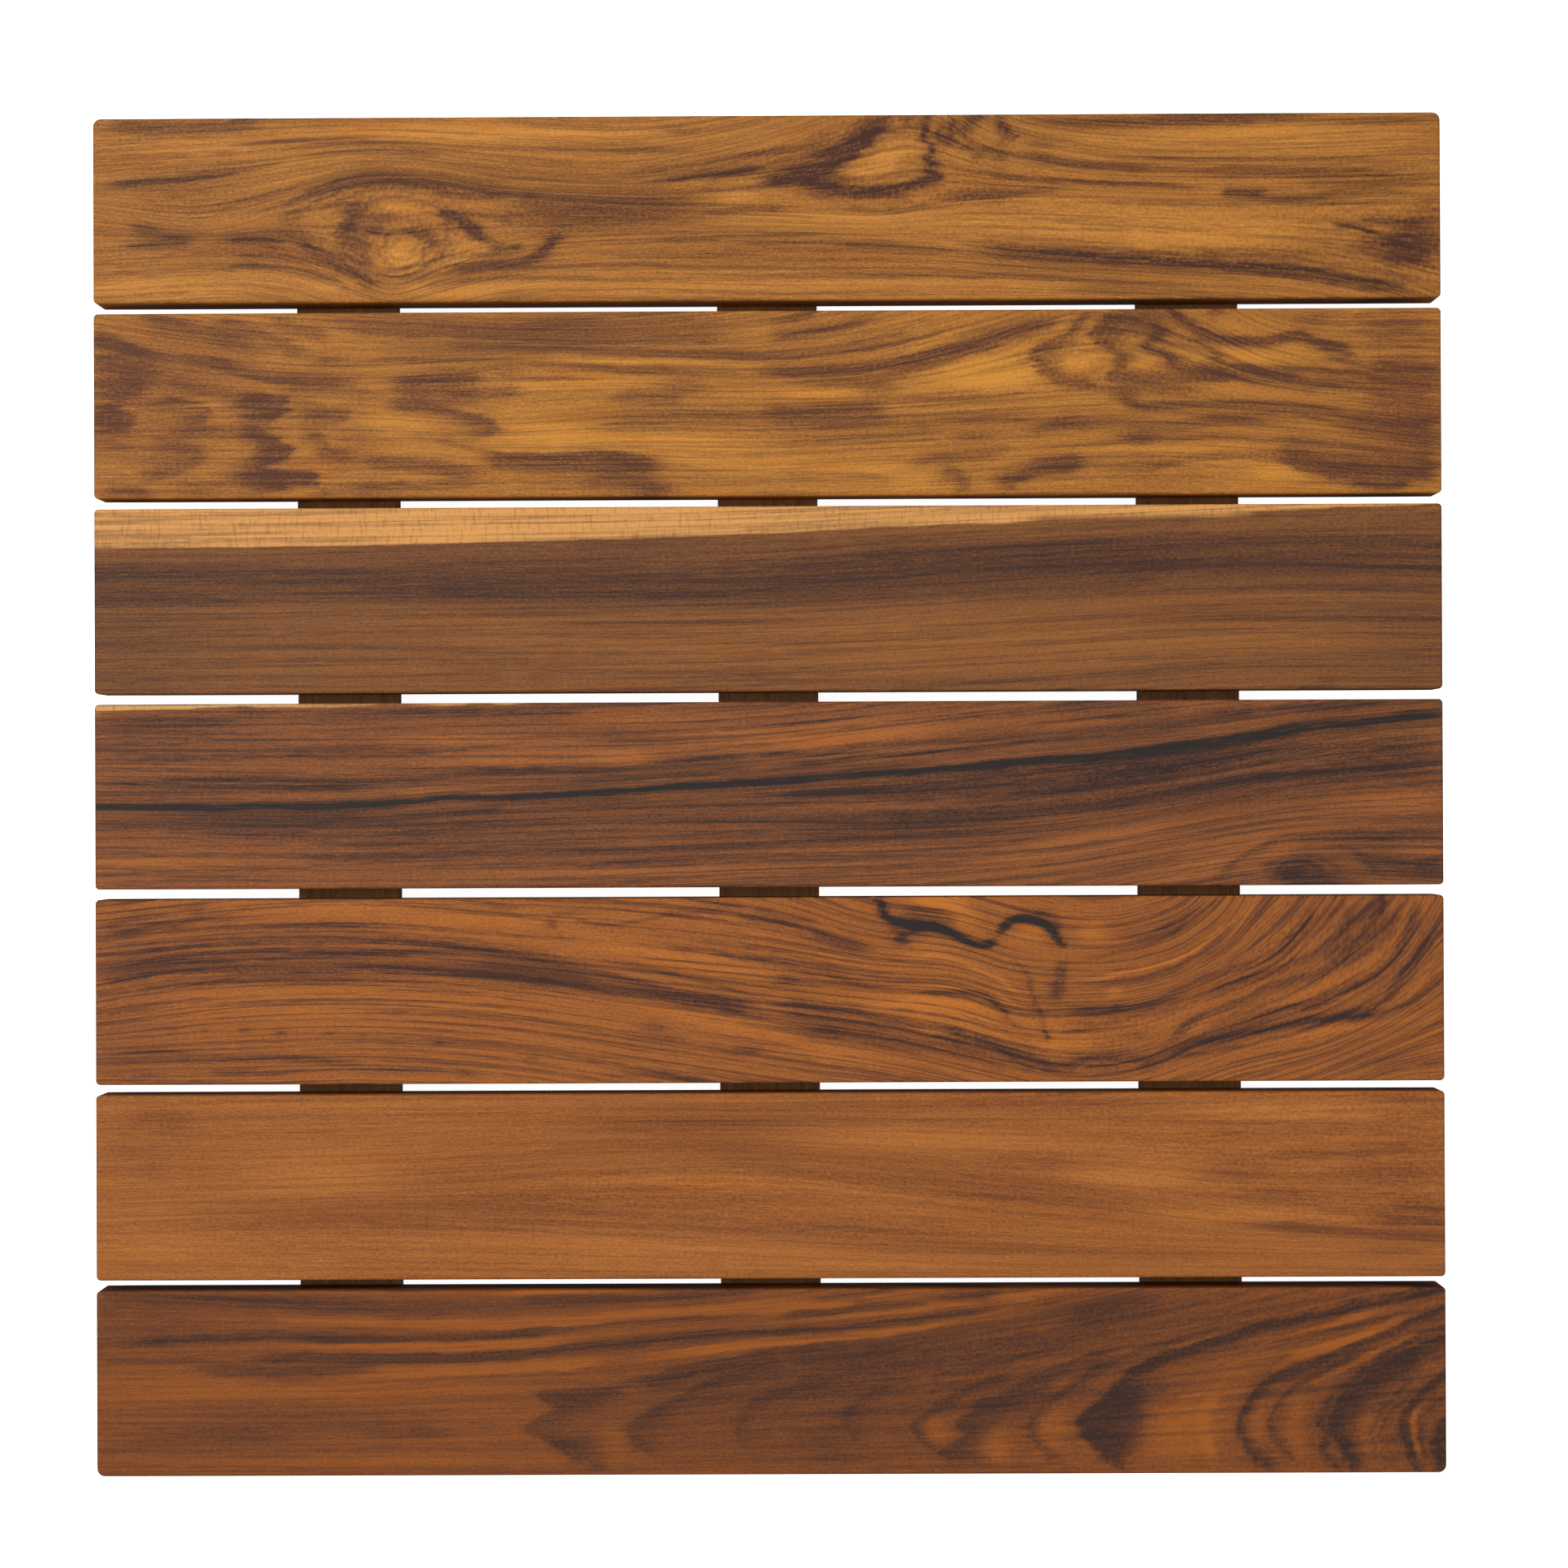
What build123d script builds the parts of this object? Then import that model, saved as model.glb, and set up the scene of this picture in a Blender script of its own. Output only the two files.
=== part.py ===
"""Square teak duckboard bath mat: seven slats screwed from below to three battens on rubber feet.

Millimetres, +Z up. The origin is on the floor, under the middle of the mat. The slats run along X
and lie side by side along Y, with slat_1 at the back (+Y) and slat_7 at the front (-Y). The
battens run along Y under the slats.
"""
from build123d import *
import os

inch = 25.4

# Slats
slat_count = 7
slat_length = 20 * inch
slat_width = 2.75 * inch
slat_thickness = 0.75 * inch
drain_gap = 3.85
slat_pitch = slat_width + drain_gap
mat_depth = slat_count * slat_width + (slat_count - 1) * drain_gap
inner_corner_radius = 1.6
outer_corner_radius = 3
slat_edge_radius = 1.2

# Battens
batten_width = 1.5 * inch
batten_thickness = 0.5 * inch
batten_spacing = 160.5
batten_setback = 0.375 * inch
batten_length = mat_depth - 2 * batten_setback
batten_corner_radius = 2
batten_edge_radius = 1

# Rubber feet, three under each batten: in the middle and under the two outermost slats
foot_radius = 12.7
foot_sole_radius = 11.6
foot_height = 4
foot_sole_round = 0.6
foot_row_spacing = (slat_count - 1) / 2 * slat_pitch
foot_recess_radius = 4.4
foot_recess_depth = 3

# Countersunk slat screws, two at each crossing, staggered so that they share no line of grain
slat_screw_length = inch
slat_screw_head_radius = 4
slat_screw_thread_radius = 2
slat_screw_core_radius = 1.35
slat_screw_plain_length = 9
slat_screw_pitch = 1.8
slat_screw_point = 3
slat_screw_sink = 0.4
slat_screw_offset_x = 9.5
slat_screw_offset_y = 15
countersink_angle = 90

# Pan head foot screws
foot_screw_length = 9.5
foot_screw_head_radius = 3.4
foot_screw_head_height = 2.2
foot_screw_head_round = 1.2
foot_screw_thread_radius = 1.75
foot_screw_core_radius = 1.2
foot_screw_plain_length = 2
foot_screw_pitch = 1.3
foot_screw_point = 2

# Cross drive recess, its arms narrowing towards the bottom
drive_arm_length = 3.8
drive_arm_width = 1
drive_depth = 1.4
drive_taper = 8

hole_clearance = 0.05
blind_hole_spare = 0.5

# Levels
batten_underside = foot_height
slat_underside = batten_underside + batten_thickness
screw_head_level = batten_underside + slat_screw_sink

slat_y = [((slat_count - 1) / 2 - row) * slat_pitch for row in range(slat_count)]
columns = {"left": -batten_spacing, "centre": 0, "right": batten_spacing}
rows = {"back": foot_row_spacing, "middle": 0, "front": -foot_row_spacing}


def from_below(x, y, z):
    """A place whose own +Z points down, for holes and recesses bored upwards."""
    return Location((x, y, z), (180, 0, 0))


def slat_screw_places(x, z):
    """The two staggered screws at every crossing of one batten, at level z, facing down."""
    return [
        from_below(x + side * slat_screw_offset_x, y + side * slat_screw_offset_y, z)
        for y in slat_y
        for side in (-1, 1)
    ]


def foot_places(x, z):
    """The three feet of one batten, at level z, facing down."""
    return [from_below(x, y, z) for y in rows.values()]


def thread_outline(core, crest, start, pitch, end, point):
    """Points down one side of a screw's thread, from the plain shank to the tip, as (radius, -length)."""
    turns = int((end - point - start) / pitch)
    points = []
    for turn in range(turns):
        top = start + turn * pitch
        points += [(core, -top), (crest, -(top + 0.35 * pitch)), (core, -(top + 0.7 * pitch))]
    return points + [(core, -(end - point)), (0, -end)]


# One countersunk slat screw, its head's flat face at the origin and its tip pointing to -Z
with BuildPart() as slat_screw:
    with BuildSketch(Plane.XZ):
        with BuildLine():
            Polyline(
                (0, 0),
                (slat_screw_head_radius, 0),
                (slat_screw_thread_radius, slat_screw_thread_radius - slat_screw_head_radius),
                (slat_screw_thread_radius, -(slat_screw_plain_length - slat_screw_pitch)),
                *thread_outline(
                    slat_screw_core_radius,
                    slat_screw_thread_radius,
                    slat_screw_plain_length,
                    slat_screw_pitch,
                    slat_screw_length,
                    slat_screw_point,
                ),
                close=True,
            )
        make_face()
    revolve(axis=Axis.Z)
    with BuildSketch():
        Rectangle(drive_arm_length, drive_arm_width)
        Rectangle(drive_arm_width, drive_arm_length)
    extrude(amount=-drive_depth, taper=drive_taper, mode=Mode.SUBTRACT)

# One pan head foot screw, the underside of its head at the origin and its tip pointing to -Z
with BuildPart() as foot_screw:
    with BuildSketch(Plane.XZ):
        with BuildLine():
            Polyline(
                (0, foot_screw_head_height),
                (foot_screw_head_radius, foot_screw_head_height),
                (foot_screw_head_radius, 0),
                (foot_screw_thread_radius, 0),
                (foot_screw_thread_radius, -(foot_screw_plain_length - foot_screw_pitch / 2)),
                *thread_outline(
                    foot_screw_core_radius,
                    foot_screw_thread_radius,
                    foot_screw_plain_length,
                    foot_screw_pitch,
                    foot_screw_length,
                    foot_screw_point,
                ),
                close=True,
            )
        make_face()
    revolve(axis=Axis.Z)
    fillet(foot_screw.edges().group_by(Axis.Z)[-1], radius=foot_screw_head_round)
    with BuildSketch(Plane.XY.offset(foot_screw_head_height)):
        Rectangle(drive_arm_length, drive_arm_width)
        Rectangle(drive_arm_width, drive_arm_length)
    extrude(amount=-drive_depth, taper=drive_taper, mode=Mode.SUBTRACT)

os.makedirs("parts", exist_ok=True)

# Slats: boards with rounded corners and eased edges, bored from below for the screws. The two
# outermost slats have the mat's own corners, which are rounder on their outer side.
for row, y in enumerate(slat_y):
    outward = {0: 1, slat_count - 1: -1}.get(row, 0)
    with BuildPart() as slat:
        with BuildSketch(Plane.XY.offset(slat_underside)):
            with Locations((0, y)):
                Rectangle(slat_length, slat_width)
            outer_corners = vertices().filter_by(lambda v: (v.Y - y) * outward > 0)
            inner_corners = vertices().filter_by(lambda v: (v.Y - y) * outward <= 0)
            fillet(inner_corners, radius=inner_corner_radius)
            if outward:
                fillet(outer_corners, radius=outer_corner_radius)
        extrude(amount=slat_thickness)
        long_and_end_edges = edges().filter_by(Axis.Z, reverse=True)
        fillet(long_and_end_edges, radius=slat_edge_radius)
        pilot_depth = screw_head_level + slat_screw_length - slat_underside + blind_hole_spare
        pilots = [
            place
            for x in columns.values()
            for place in slat_screw_places(x, slat_underside)
            if abs(place.position.Y - y) < slat_width / 2
        ]
        with Locations(*pilots):
            Hole(radius=slat_screw_thread_radius + hole_clearance, depth=pilot_depth)
    slat.part.label = f"slat_{row + 1}"
    export_step(slat.part, f"parts/{slat.part.label}.step")

for side, x in columns.items():
    # Batten: bored right through and countersunk below for the slat screws, and bored blind for
    # the foot screws
    with BuildPart() as batten:
        with BuildSketch(Plane.XY.offset(batten_underside)):
            with Locations((x, 0)):
                RectangleRounded(batten_width, batten_length, batten_corner_radius)
        extrude(amount=batten_thickness)
        fillet(edges().group_by(Axis.Z)[0], radius=batten_edge_radius)
        with Locations(*slat_screw_places(x, batten_underside)):
            CounterSinkHole(
                radius=slat_screw_thread_radius + hole_clearance,
                counter_sink_radius=slat_screw_head_radius + slat_screw_sink,
                depth=batten_thickness,
                counter_sink_angle=countersink_angle,
            )
        foot_pilot_depth = foot_screw_length - (foot_height - foot_recess_depth) + blind_hole_spare
        with Locations(*foot_places(x, batten_underside)):
            Hole(radius=foot_screw_thread_radius + hole_clearance, depth=foot_pilot_depth)
    batten.part.label = f"batten_{side}"
    export_step(batten.part, f"parts/{batten.part.label}.step")

    with BuildPart() as slat_screws:
        with Locations(*slat_screw_places(x, screw_head_level)):
            add(slat_screw.part)
    slat_screws.part.label = f"slat_screws_{side}"
    export_step(slat_screws.part, f"parts/{slat_screws.part.label}.step")

    with BuildPart() as foot_screws:
        with Locations(*foot_places(x, foot_recess_depth)):
            add(foot_screw.part)
    foot_screws.part.label = f"foot_screws_{side}"
    export_step(foot_screws.part, f"parts/{foot_screws.part.label}.step")

    # Feet: rubber discs that narrow towards the sole, with a recess that sinks the screw's head
    for row, y in rows.items():
        with BuildPart() as foot:
            with BuildSketch(Plane(origin=(x, y, 0), x_dir=(1, 0, 0), z_dir=(0, -1, 0))):
                with BuildLine():
                    Polyline(
                        (0, 0),
                        (foot_sole_radius, 0),
                        (foot_radius, foot_height / 2),
                        (foot_radius, foot_height),
                        (0, foot_height),
                        close=True,
                    )
                make_face()
            revolve(axis=Axis((x, y, 0), (0, 0, 1)))
            fillet(edges().group_by(Axis.Z)[0], radius=foot_sole_round)
            with Locations(from_below(x, y, 0)):
                CounterBoreHole(
                    radius=foot_screw_thread_radius + hole_clearance,
                    counter_bore_radius=foot_recess_radius,
                    counter_bore_depth=foot_recess_depth,
                    depth=foot_height,
                )
        foot.part.label = f"foot_{row}_{side}"
        export_step(foot.part, f"parts/{foot.part.label}.step")
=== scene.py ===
"""Looks of a square teak duckboard bath mat: seven figured slats on three battens with rubber feet.

Metres, +Z up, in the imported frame's own place: the slats run along X and lie side by side along Y,
slat_1 at the back (+Y). A board's figure is drawn in millimetres from the middle of its top face.
"""
import logging
import math
from dataclasses import dataclass, replace
from enum import Enum
from typing import Any, Union

import bpy
import numpy as np
from mathutils import Matrix, Vector


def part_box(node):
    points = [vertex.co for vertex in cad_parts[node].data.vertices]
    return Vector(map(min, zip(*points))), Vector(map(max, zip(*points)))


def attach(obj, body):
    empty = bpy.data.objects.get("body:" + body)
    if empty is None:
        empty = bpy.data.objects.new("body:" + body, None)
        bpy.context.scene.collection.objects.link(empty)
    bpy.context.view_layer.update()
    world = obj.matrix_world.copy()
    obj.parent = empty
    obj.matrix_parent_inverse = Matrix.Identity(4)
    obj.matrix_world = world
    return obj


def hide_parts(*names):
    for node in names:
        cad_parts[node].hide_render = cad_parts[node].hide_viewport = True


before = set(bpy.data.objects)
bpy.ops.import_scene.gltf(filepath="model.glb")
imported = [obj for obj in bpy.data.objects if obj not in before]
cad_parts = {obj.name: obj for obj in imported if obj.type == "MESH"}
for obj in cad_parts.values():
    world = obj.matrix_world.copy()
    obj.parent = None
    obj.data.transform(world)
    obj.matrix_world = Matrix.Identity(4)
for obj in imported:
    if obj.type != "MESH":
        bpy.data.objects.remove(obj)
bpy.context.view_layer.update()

log = logging.getLogger("bath_mat")

Array = np.ndarray
Colour = tuple[float, float, float]
Point = tuple[float, float]
Number = Union[float, "Socket"]

MM = 0.001


# --- Shader graphs ---------------------------------------------------------------------------------


def srgb(red: float, green: float, blue: float) -> Colour:
    """Turn a display colour, 0 to 255, into the linear colour that a shader takes.

    Args:
        red: Red, 0 to 255.
        green: Green, 0 to 255.
        blue: Blue, 0 to 255.

    Returns:
        The linear colour, 0 to 1.
    """
    shares = (red / 255, green / 255, blue / 255)
    return tuple(((share + 0.055) / 1.055) ** 2.4 if share > 0.04 else share / 12.92 for share in shares)


class Socket:
    """A number somewhere in a shader graph: arithmetic on it adds Math nodes."""

    def __init__(self, graph: "Graph", output: bpy.types.NodeSocket) -> None:
        """Wrap one output socket of a graph."""
        self.graph = graph
        self.output = output

    def math(self, operation: str, *others: Number) -> "Socket":
        """Add one Math node.

        Args:
            operation: The Math node's operation.
            others: The second and third values, where the operation takes them.

        Returns:
            The node's value.
        """
        values = dict(enumerate((self, *others)))
        return self.graph.node("ShaderNodeMath", {"operation": operation}, values)

    def __add__(self, other: Number) -> "Socket":
        """Sum."""
        return self.math("ADD", other)

    def __radd__(self, other: Number) -> "Socket":
        """Sum, with the number first."""
        return self.math("ADD", other)

    def __sub__(self, other: Number) -> "Socket":
        """Difference."""
        return self.math("SUBTRACT", other)

    def __rsub__(self, other: Number) -> "Socket":
        """Difference, with the number first."""
        return self.graph.node("ShaderNodeMath", {"operation": "SUBTRACT"}, {0: other, 1: self})

    def __mul__(self, other: Number) -> "Socket":
        """Product."""
        return self.math("MULTIPLY", other)

    def __rmul__(self, other: Number) -> "Socket":
        """Product, with the number first."""
        return self.math("MULTIPLY", other)

    def __pow__(self, other: Number) -> "Socket":
        """Power."""
        return self.math("POWER", other)

    def clamp(self, low: float = 0.0, high: float = 1.0) -> "Socket":
        """The value held between two limits."""
        return self.graph.node("ShaderNodeClamp", {}, {"Value": self, "Min": low, "Max": high})

    def band(self, low: float, high: float) -> "Socket":
        """A smooth step.

        Args:
            low: The value that becomes 0, with all below it.
            high: The value that becomes 1, with all above it.

        Returns:
            The step's value.
        """
        inputs = {"Value": self, "From Min": low, "From Max": high}
        return self.graph.node("ShaderNodeMapRange", {"interpolation_type": "SMOOTHSTEP"}, inputs)


class Graph:
    """A new material and the few ways in which its nodes are added."""

    def __init__(self, name: str) -> None:
        """Make the material with an empty graph and its output.

        Args:
            name: The material's name.
        """
        self.material = bpy.data.materials.new(name)
        self.material.use_nodes = True
        self.tree = self.material.node_tree
        self.tree.nodes.clear()
        self.surface = self.tree.nodes.new("ShaderNodeOutputMaterial").inputs["Surface"]

    def node(
        self, kind: str, settings: dict[str, Any], inputs: dict[str | int, Any], output: int | str = 0
    ) -> Socket:
        """Add one node: first its settings, then the values or links of its sockets.

        Args:
            kind: The node's type.
            settings: The node's own properties.
            inputs: What goes in each named or numbered input: a Socket, a number or a colour.
            output: The output to hand back.

        Returns:
            The chosen output.
        """
        node = self.tree.nodes.new(kind)
        for name, value in settings.items():
            setattr(node, name, value)
        for name, value in inputs.items():
            if isinstance(value, Socket):
                self.tree.links.new(value.output, node.inputs[name])
            elif isinstance(value, tuple) and len(node.inputs[name].default_value) == 4:
                node.inputs[name].default_value = (*value, 1.0)
            else:
                node.inputs[name].default_value = value
        return Socket(self, node.outputs[output])

    def mix(self, share: Number, first: Any, second: Any, blend: str = "MIX") -> Socket:
        """Blend two colours, or go past them where the share is below 0 or above 1.

        Args:
            share: How much of the second colour shows.
            first: The first colour, a Socket or a linear colour.
            second: The second colour.
            blend: The Mix node's blend type.

        Returns:
            The blended colour.
        """
        settings = {"data_type": "RGBA", "blend_type": blend, "clamp_factor": False}
        return self.node("ShaderNodeMix", settings, {0: share, 6: first, 7: second}, 2)

    def split(self, vector: Socket) -> tuple[Socket, Socket, Socket]:
        """The three parts of a vector.

        Args:
            vector: The vector.

        Returns:
            Its X, Y and Z.
        """
        whole = self.node("ShaderNodeSeparateXYZ", {}, {0: vector})
        outputs = whole.output.node.outputs
        return tuple(Socket(self, outputs[axis]) for axis in range(3))

    def vector(self, x: Number, y: Number, z: Number) -> Socket:
        """A vector from its three parts.

        Args:
            x: Its X.
            y: Its Y.
            z: Its Z.

        Returns:
            The vector.
        """
        return self.node("ShaderNodeCombineXYZ", {}, {0: x, 1: y, 2: z})

    def noise(self, place: Socket, detail: float = 2.0, roughness: float = 0.5) -> Socket:
        """Cloudy noise, one cloud to each unit of the place.

        Args:
            place: Where the noise is read.
            detail: How many finer layers are added.
            roughness: How strong the finer layers are.

        Returns:
            The noise, about 0.5.
        """
        inputs = {"Vector": place, "Scale": 1.0, "Detail": detail, "Roughness": roughness}
        return self.node("ShaderNodeTexNoise", {}, inputs)

    def bump(self, height: Socket, distance: float, strength: float) -> Socket:
        """Bump from a height.

        Args:
            height: The height, 0 to 1.
            distance: What a height of 1 stands for, in metres.
            strength: How much of the bump is used.

        Returns:
            The bent normal.
        """
        inputs = {"Height": height, "Distance": distance, "Strength": strength}
        return self.node("ShaderNodeBump", {}, inputs)

    def place(self) -> tuple[Socket, Socket, Socket]:
        """The object's own X, Y and Z, in metres."""
        return self.split(self.node("ShaderNodeTexCoord", {}, {}, "Object"))

    def attribute(self, name: str) -> tuple[Socket, Socket, Socket]:
        """The three parts of a vector stored on the mesh.

        Args:
            name: The attribute's name.

        Returns:
            Its X, Y and Z.
        """
        return self.split(self.node("ShaderNodeAttribute", {"attribute_name": name}, {}, "Vector"))

    def principled(self, **inputs: Any) -> bpy.types.Material:
        """Finish the graph with a Principled shader.

        Args:
            inputs: Its sockets by name, with underscores for spaces.

        Returns:
            The finished material.
        """
        named = {name.replace("_", " "): value for name, value in inputs.items()}
        shader = self.node("ShaderNodeBsdfPrincipled", {}, named)
        self.tree.links.new(shader.output, self.surface)
        return self.material


# --- Grain of a board ------------------------------------------------------------------------------

# A drawn line: short straight steps between two of its points, and its tip's share of its width
STEPS_PER_SPAN = 6
TIP_WIDTH = 0.35

# Ripples that move the marks: their lengths along and heights across, in millimetres
FEATHER_SIZE = (18, 1.9)
DRIFT_SIZE = (30, 9)
WANDER_SIZE = (11, 7)
DRIFT = 1.5

# Tint round the marks, how much paler the clear wood is, and the sapwood's soft edge in millimetres
HALO_SHARE = 0.3
HALO_SHADE = 0.6
PALER = 0.06
SAP_BLUR = 0.7

def lattice(column: Array, row: Array, seed: int) -> Array:
    """Fixed pseudo-random numbers at whole-number places, by mixing the bits of the place.

    The multipliers are large and odd, so that neighbouring places share no pattern.

    Args:
        column: Whole-number columns.
        row: Whole-number rows.
        seed: Which set of numbers.

    Returns:
        Numbers from 0 to 1.
    """
    mixed = column.astype(np.int64) * 374761393 + row.astype(np.int64) * 668265263 + seed * 974634777
    mixed &= 0x7FFFFFFF
    mixed = ((mixed ^ (mixed >> 13)) * 1274126177) & 0x7FFFFFFF
    return ((mixed ^ (mixed >> 16)) & 0xFFFF) / 65535.0


def ripple(x: Array, y: Array, seed: int, octaves: int = 2) -> Array:
    """Smooth noise: lattice numbers joined by smoothsteps, with finer, weaker octaves added.

    Args:
        x: Places along the first axis, one bump to a unit.
        y: Places along the second axis.
        seed: Which noise.
        octaves: How many layers, each twice as fine and half as strong.

    Returns:
        Noise from -1 to 1.
    """
    total, weight = np.zeros_like(x), 0.0
    for octave in range(octaves):
        scale, share = 2.0**octave, 0.5**octave
        column, row = np.floor(x * scale), np.floor(y * scale)
        s, t = smooth(x * scale - column), smooth(y * scale - row)
        corners = [lattice(column + i, row + j, seed + 31 * octave) for j in (0, 1) for i in (0, 1)]
        low = corners[0] + (corners[1] - corners[0]) * s
        high = corners[2] + (corners[3] - corners[2]) * s
        total += share * (2 * (low + (high - low) * t) - 1)
        weight += share
    return total / weight


def smooth(value: Array) -> Array:
    """Smoothstep: 0 below 0, 1 above 1, and 3t^2 - 2t^3 between."""
    t = np.clip(value, 0, 1)
    return t * t * (3 - 2 * t)


def spline(points: tuple[Point, ...], stations: Array) -> Array:
    """Catmull-Rom curve: through every point, its slope there half the chord between the neighbours.

    Args:
        points: The points that the curve goes through.
        stations: Places along it, one unit from each point to the next.

    Returns:
        The curve's points, one row for each station.
    """
    p = np.asarray(points, float)
    p = np.vstack([2 * p[0] - p[1], p, 2 * p[-1] - p[-2]])
    i = np.clip(np.floor(stations).astype(int), 0, len(p) - 4)
    t = (stations - i)[:, None]
    a, b, c, d = p[i], p[i + 1], p[i + 2], p[i + 3]
    square, cube = 2 * a - 5 * b + 4 * c - d, 3 * b - a - 3 * c + d
    return 0.5 * (2 * b + (c - a) * t + square * t**2 + cube * t**3)


@dataclass(frozen=True)
class Line:
    """A dark line of grain along a curve, or a pale one where its depth is below 0."""

    depth: float
    width: float
    path: tuple[Point, ...]
    left: float = 0.4
    right: float = 0.4
    fade: float = 0.25

    def halo(self) -> "Line":
        """The same line twice as soft, for the tint that it leaves in the wood round it."""
        return replace(self, width=self.width + 1, left=2 * self.left + 0.5, right=2 * self.right + 0.5)

    def draw(self, x: Array, y: Array) -> Array:
        """Strength of the line: full over its width, then falling as exp(-d^2), and tapered at its ends.

        Args:
            x: Places along the board.
            y: Places across it.

        Returns:
            The strength at each place.
        """
        spans = len(self.path) - 1
        curve = spline(self.path, np.linspace(0, spans, STEPS_PER_SPAN * spans + 1))
        reach = self.width + 3 * max(self.left, self.right)
        low, high = curve.min(0) - reach, curve.max(0) + reach
        near = np.flatnonzero((x > low[0]) & (x < high[0]) & (y > low[1]) & (y < high[1]))
        mark = np.zeros_like(x)
        if not len(near):
            return mark
        start, run = curve[:-1], np.diff(curve, axis=0)
        length = np.hypot(run[:, 0], run[:, 1])
        from_x, from_y = x[near][:, None] - start[:, 0], y[near][:, None] - start[:, 1]
        along = np.clip((from_x * run[:, 0] + from_y * run[:, 1]) / length**2, 0, 1)
        off_x, off_y = from_x - along * run[:, 0], from_y - along * run[:, 1]
        apart = np.hypot(off_x, off_y)
        best = apart.argmin(1)
        pick = np.arange(len(near))
        leftward = run[best, 0] * off_y[pick, best] - run[best, 1] * off_x[pick, best] > 0
        place = (np.append(0, np.cumsum(length))[best] + along[pick, best] * length[best]) / length.sum()
        ends = smooth(np.minimum(place, 1 - place) / self.fade)
        half = 0.5 * self.width * (TIP_WIDTH + (1 - TIP_WIDTH) * ends)
        beyond = np.maximum(apart[pick, best] - half, 0) / np.where(leftward, self.left, self.right)
        mark[near] = self.depth * np.exp(-(beyond**2)) * ends
        return mark


def line(depth: float, width: float, *path: Point, **softness: float) -> Line:
    """A Line with its points given one after the other.

    Args:
        depth: How dark the line is, or pale below 0.
        width: Its full width.
        path: The points that it goes through.
        softness: How softly its left and right sides end, and the share of its length that fades.

    Returns:
        The line.
    """
    return Line(depth, width, path, **softness)


@dataclass(frozen=True)
class Patch:
    """A soft oval patch, dark or, with a depth below 0, pale."""

    depth: float
    x: float
    y: float
    long: float
    high: float
    turn: float = 0.0

    def radius(self, x: Array, y: Array) -> Array:
        """Distance from the middle in units of the oval's own half length and half height.

        Args:
            x: Places along the board.
            y: Places across it.

        Returns:
            The distance, 1 on the oval.
        """
        turn = math.radians(self.turn)
        dx, dy = x - self.x, y - self.y
        along = (dx * math.cos(turn) + dy * math.sin(turn)) / self.long
        across = (dy * math.cos(turn) - dx * math.sin(turn)) / self.high
        return np.hypot(along, across)

    def halo(self) -> "Patch":
        """The same patch larger, for the tint that it leaves in the wood round it."""
        return replace(self, long=1.3 * self.long + 2, high=1.3 * self.high + 2)

    def draw(self, x: Array, y: Array) -> Array:
        """Strength of the patch: exp(-r^3)."""
        return self.depth * np.exp(-(self.radius(x, y) ** 3))


@dataclass(frozen=True)
class Ring(Patch):
    """A closed oval line, as round a knot."""

    width: float = 1.0

    def draw(self, x: Array, y: Array) -> Array:
        """Strength of the ring: exp(-d^2), where d is the distance from the oval in widths."""
        off = (self.radius(x, y) - 1) * min(self.long, self.high) / self.width
        return self.depth * np.exp(-(off**2))


@dataclass(frozen=True)
class Rail:
    """One line of grain that the others follow: its level, and its height at places along the board."""

    level: float
    points: tuple[Point, ...]

    def height(self, x: Array) -> Array:
        """Height of the rail: a cubic through its points, with the slopes of their neighbours.

        Args:
            x: Places along the board.

        Returns:
            The height across the board at each place.
        """
        at, height = np.array(self.points, float).T
        slope = np.gradient(height, at)
        i = np.clip(np.searchsorted(at, x) - 1, 0, len(at) - 2)
        span = at[i + 1] - at[i]
        t = np.clip((x - at[i]) / span, 0, 1)
        step = smooth(t)
        bend = (t**3 - 2 * t**2 + t) * slope[i] + (t**3 - t**2) * slope[i + 1]
        return height[i] + (height[i + 1] - height[i]) * step + span * bend


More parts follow.
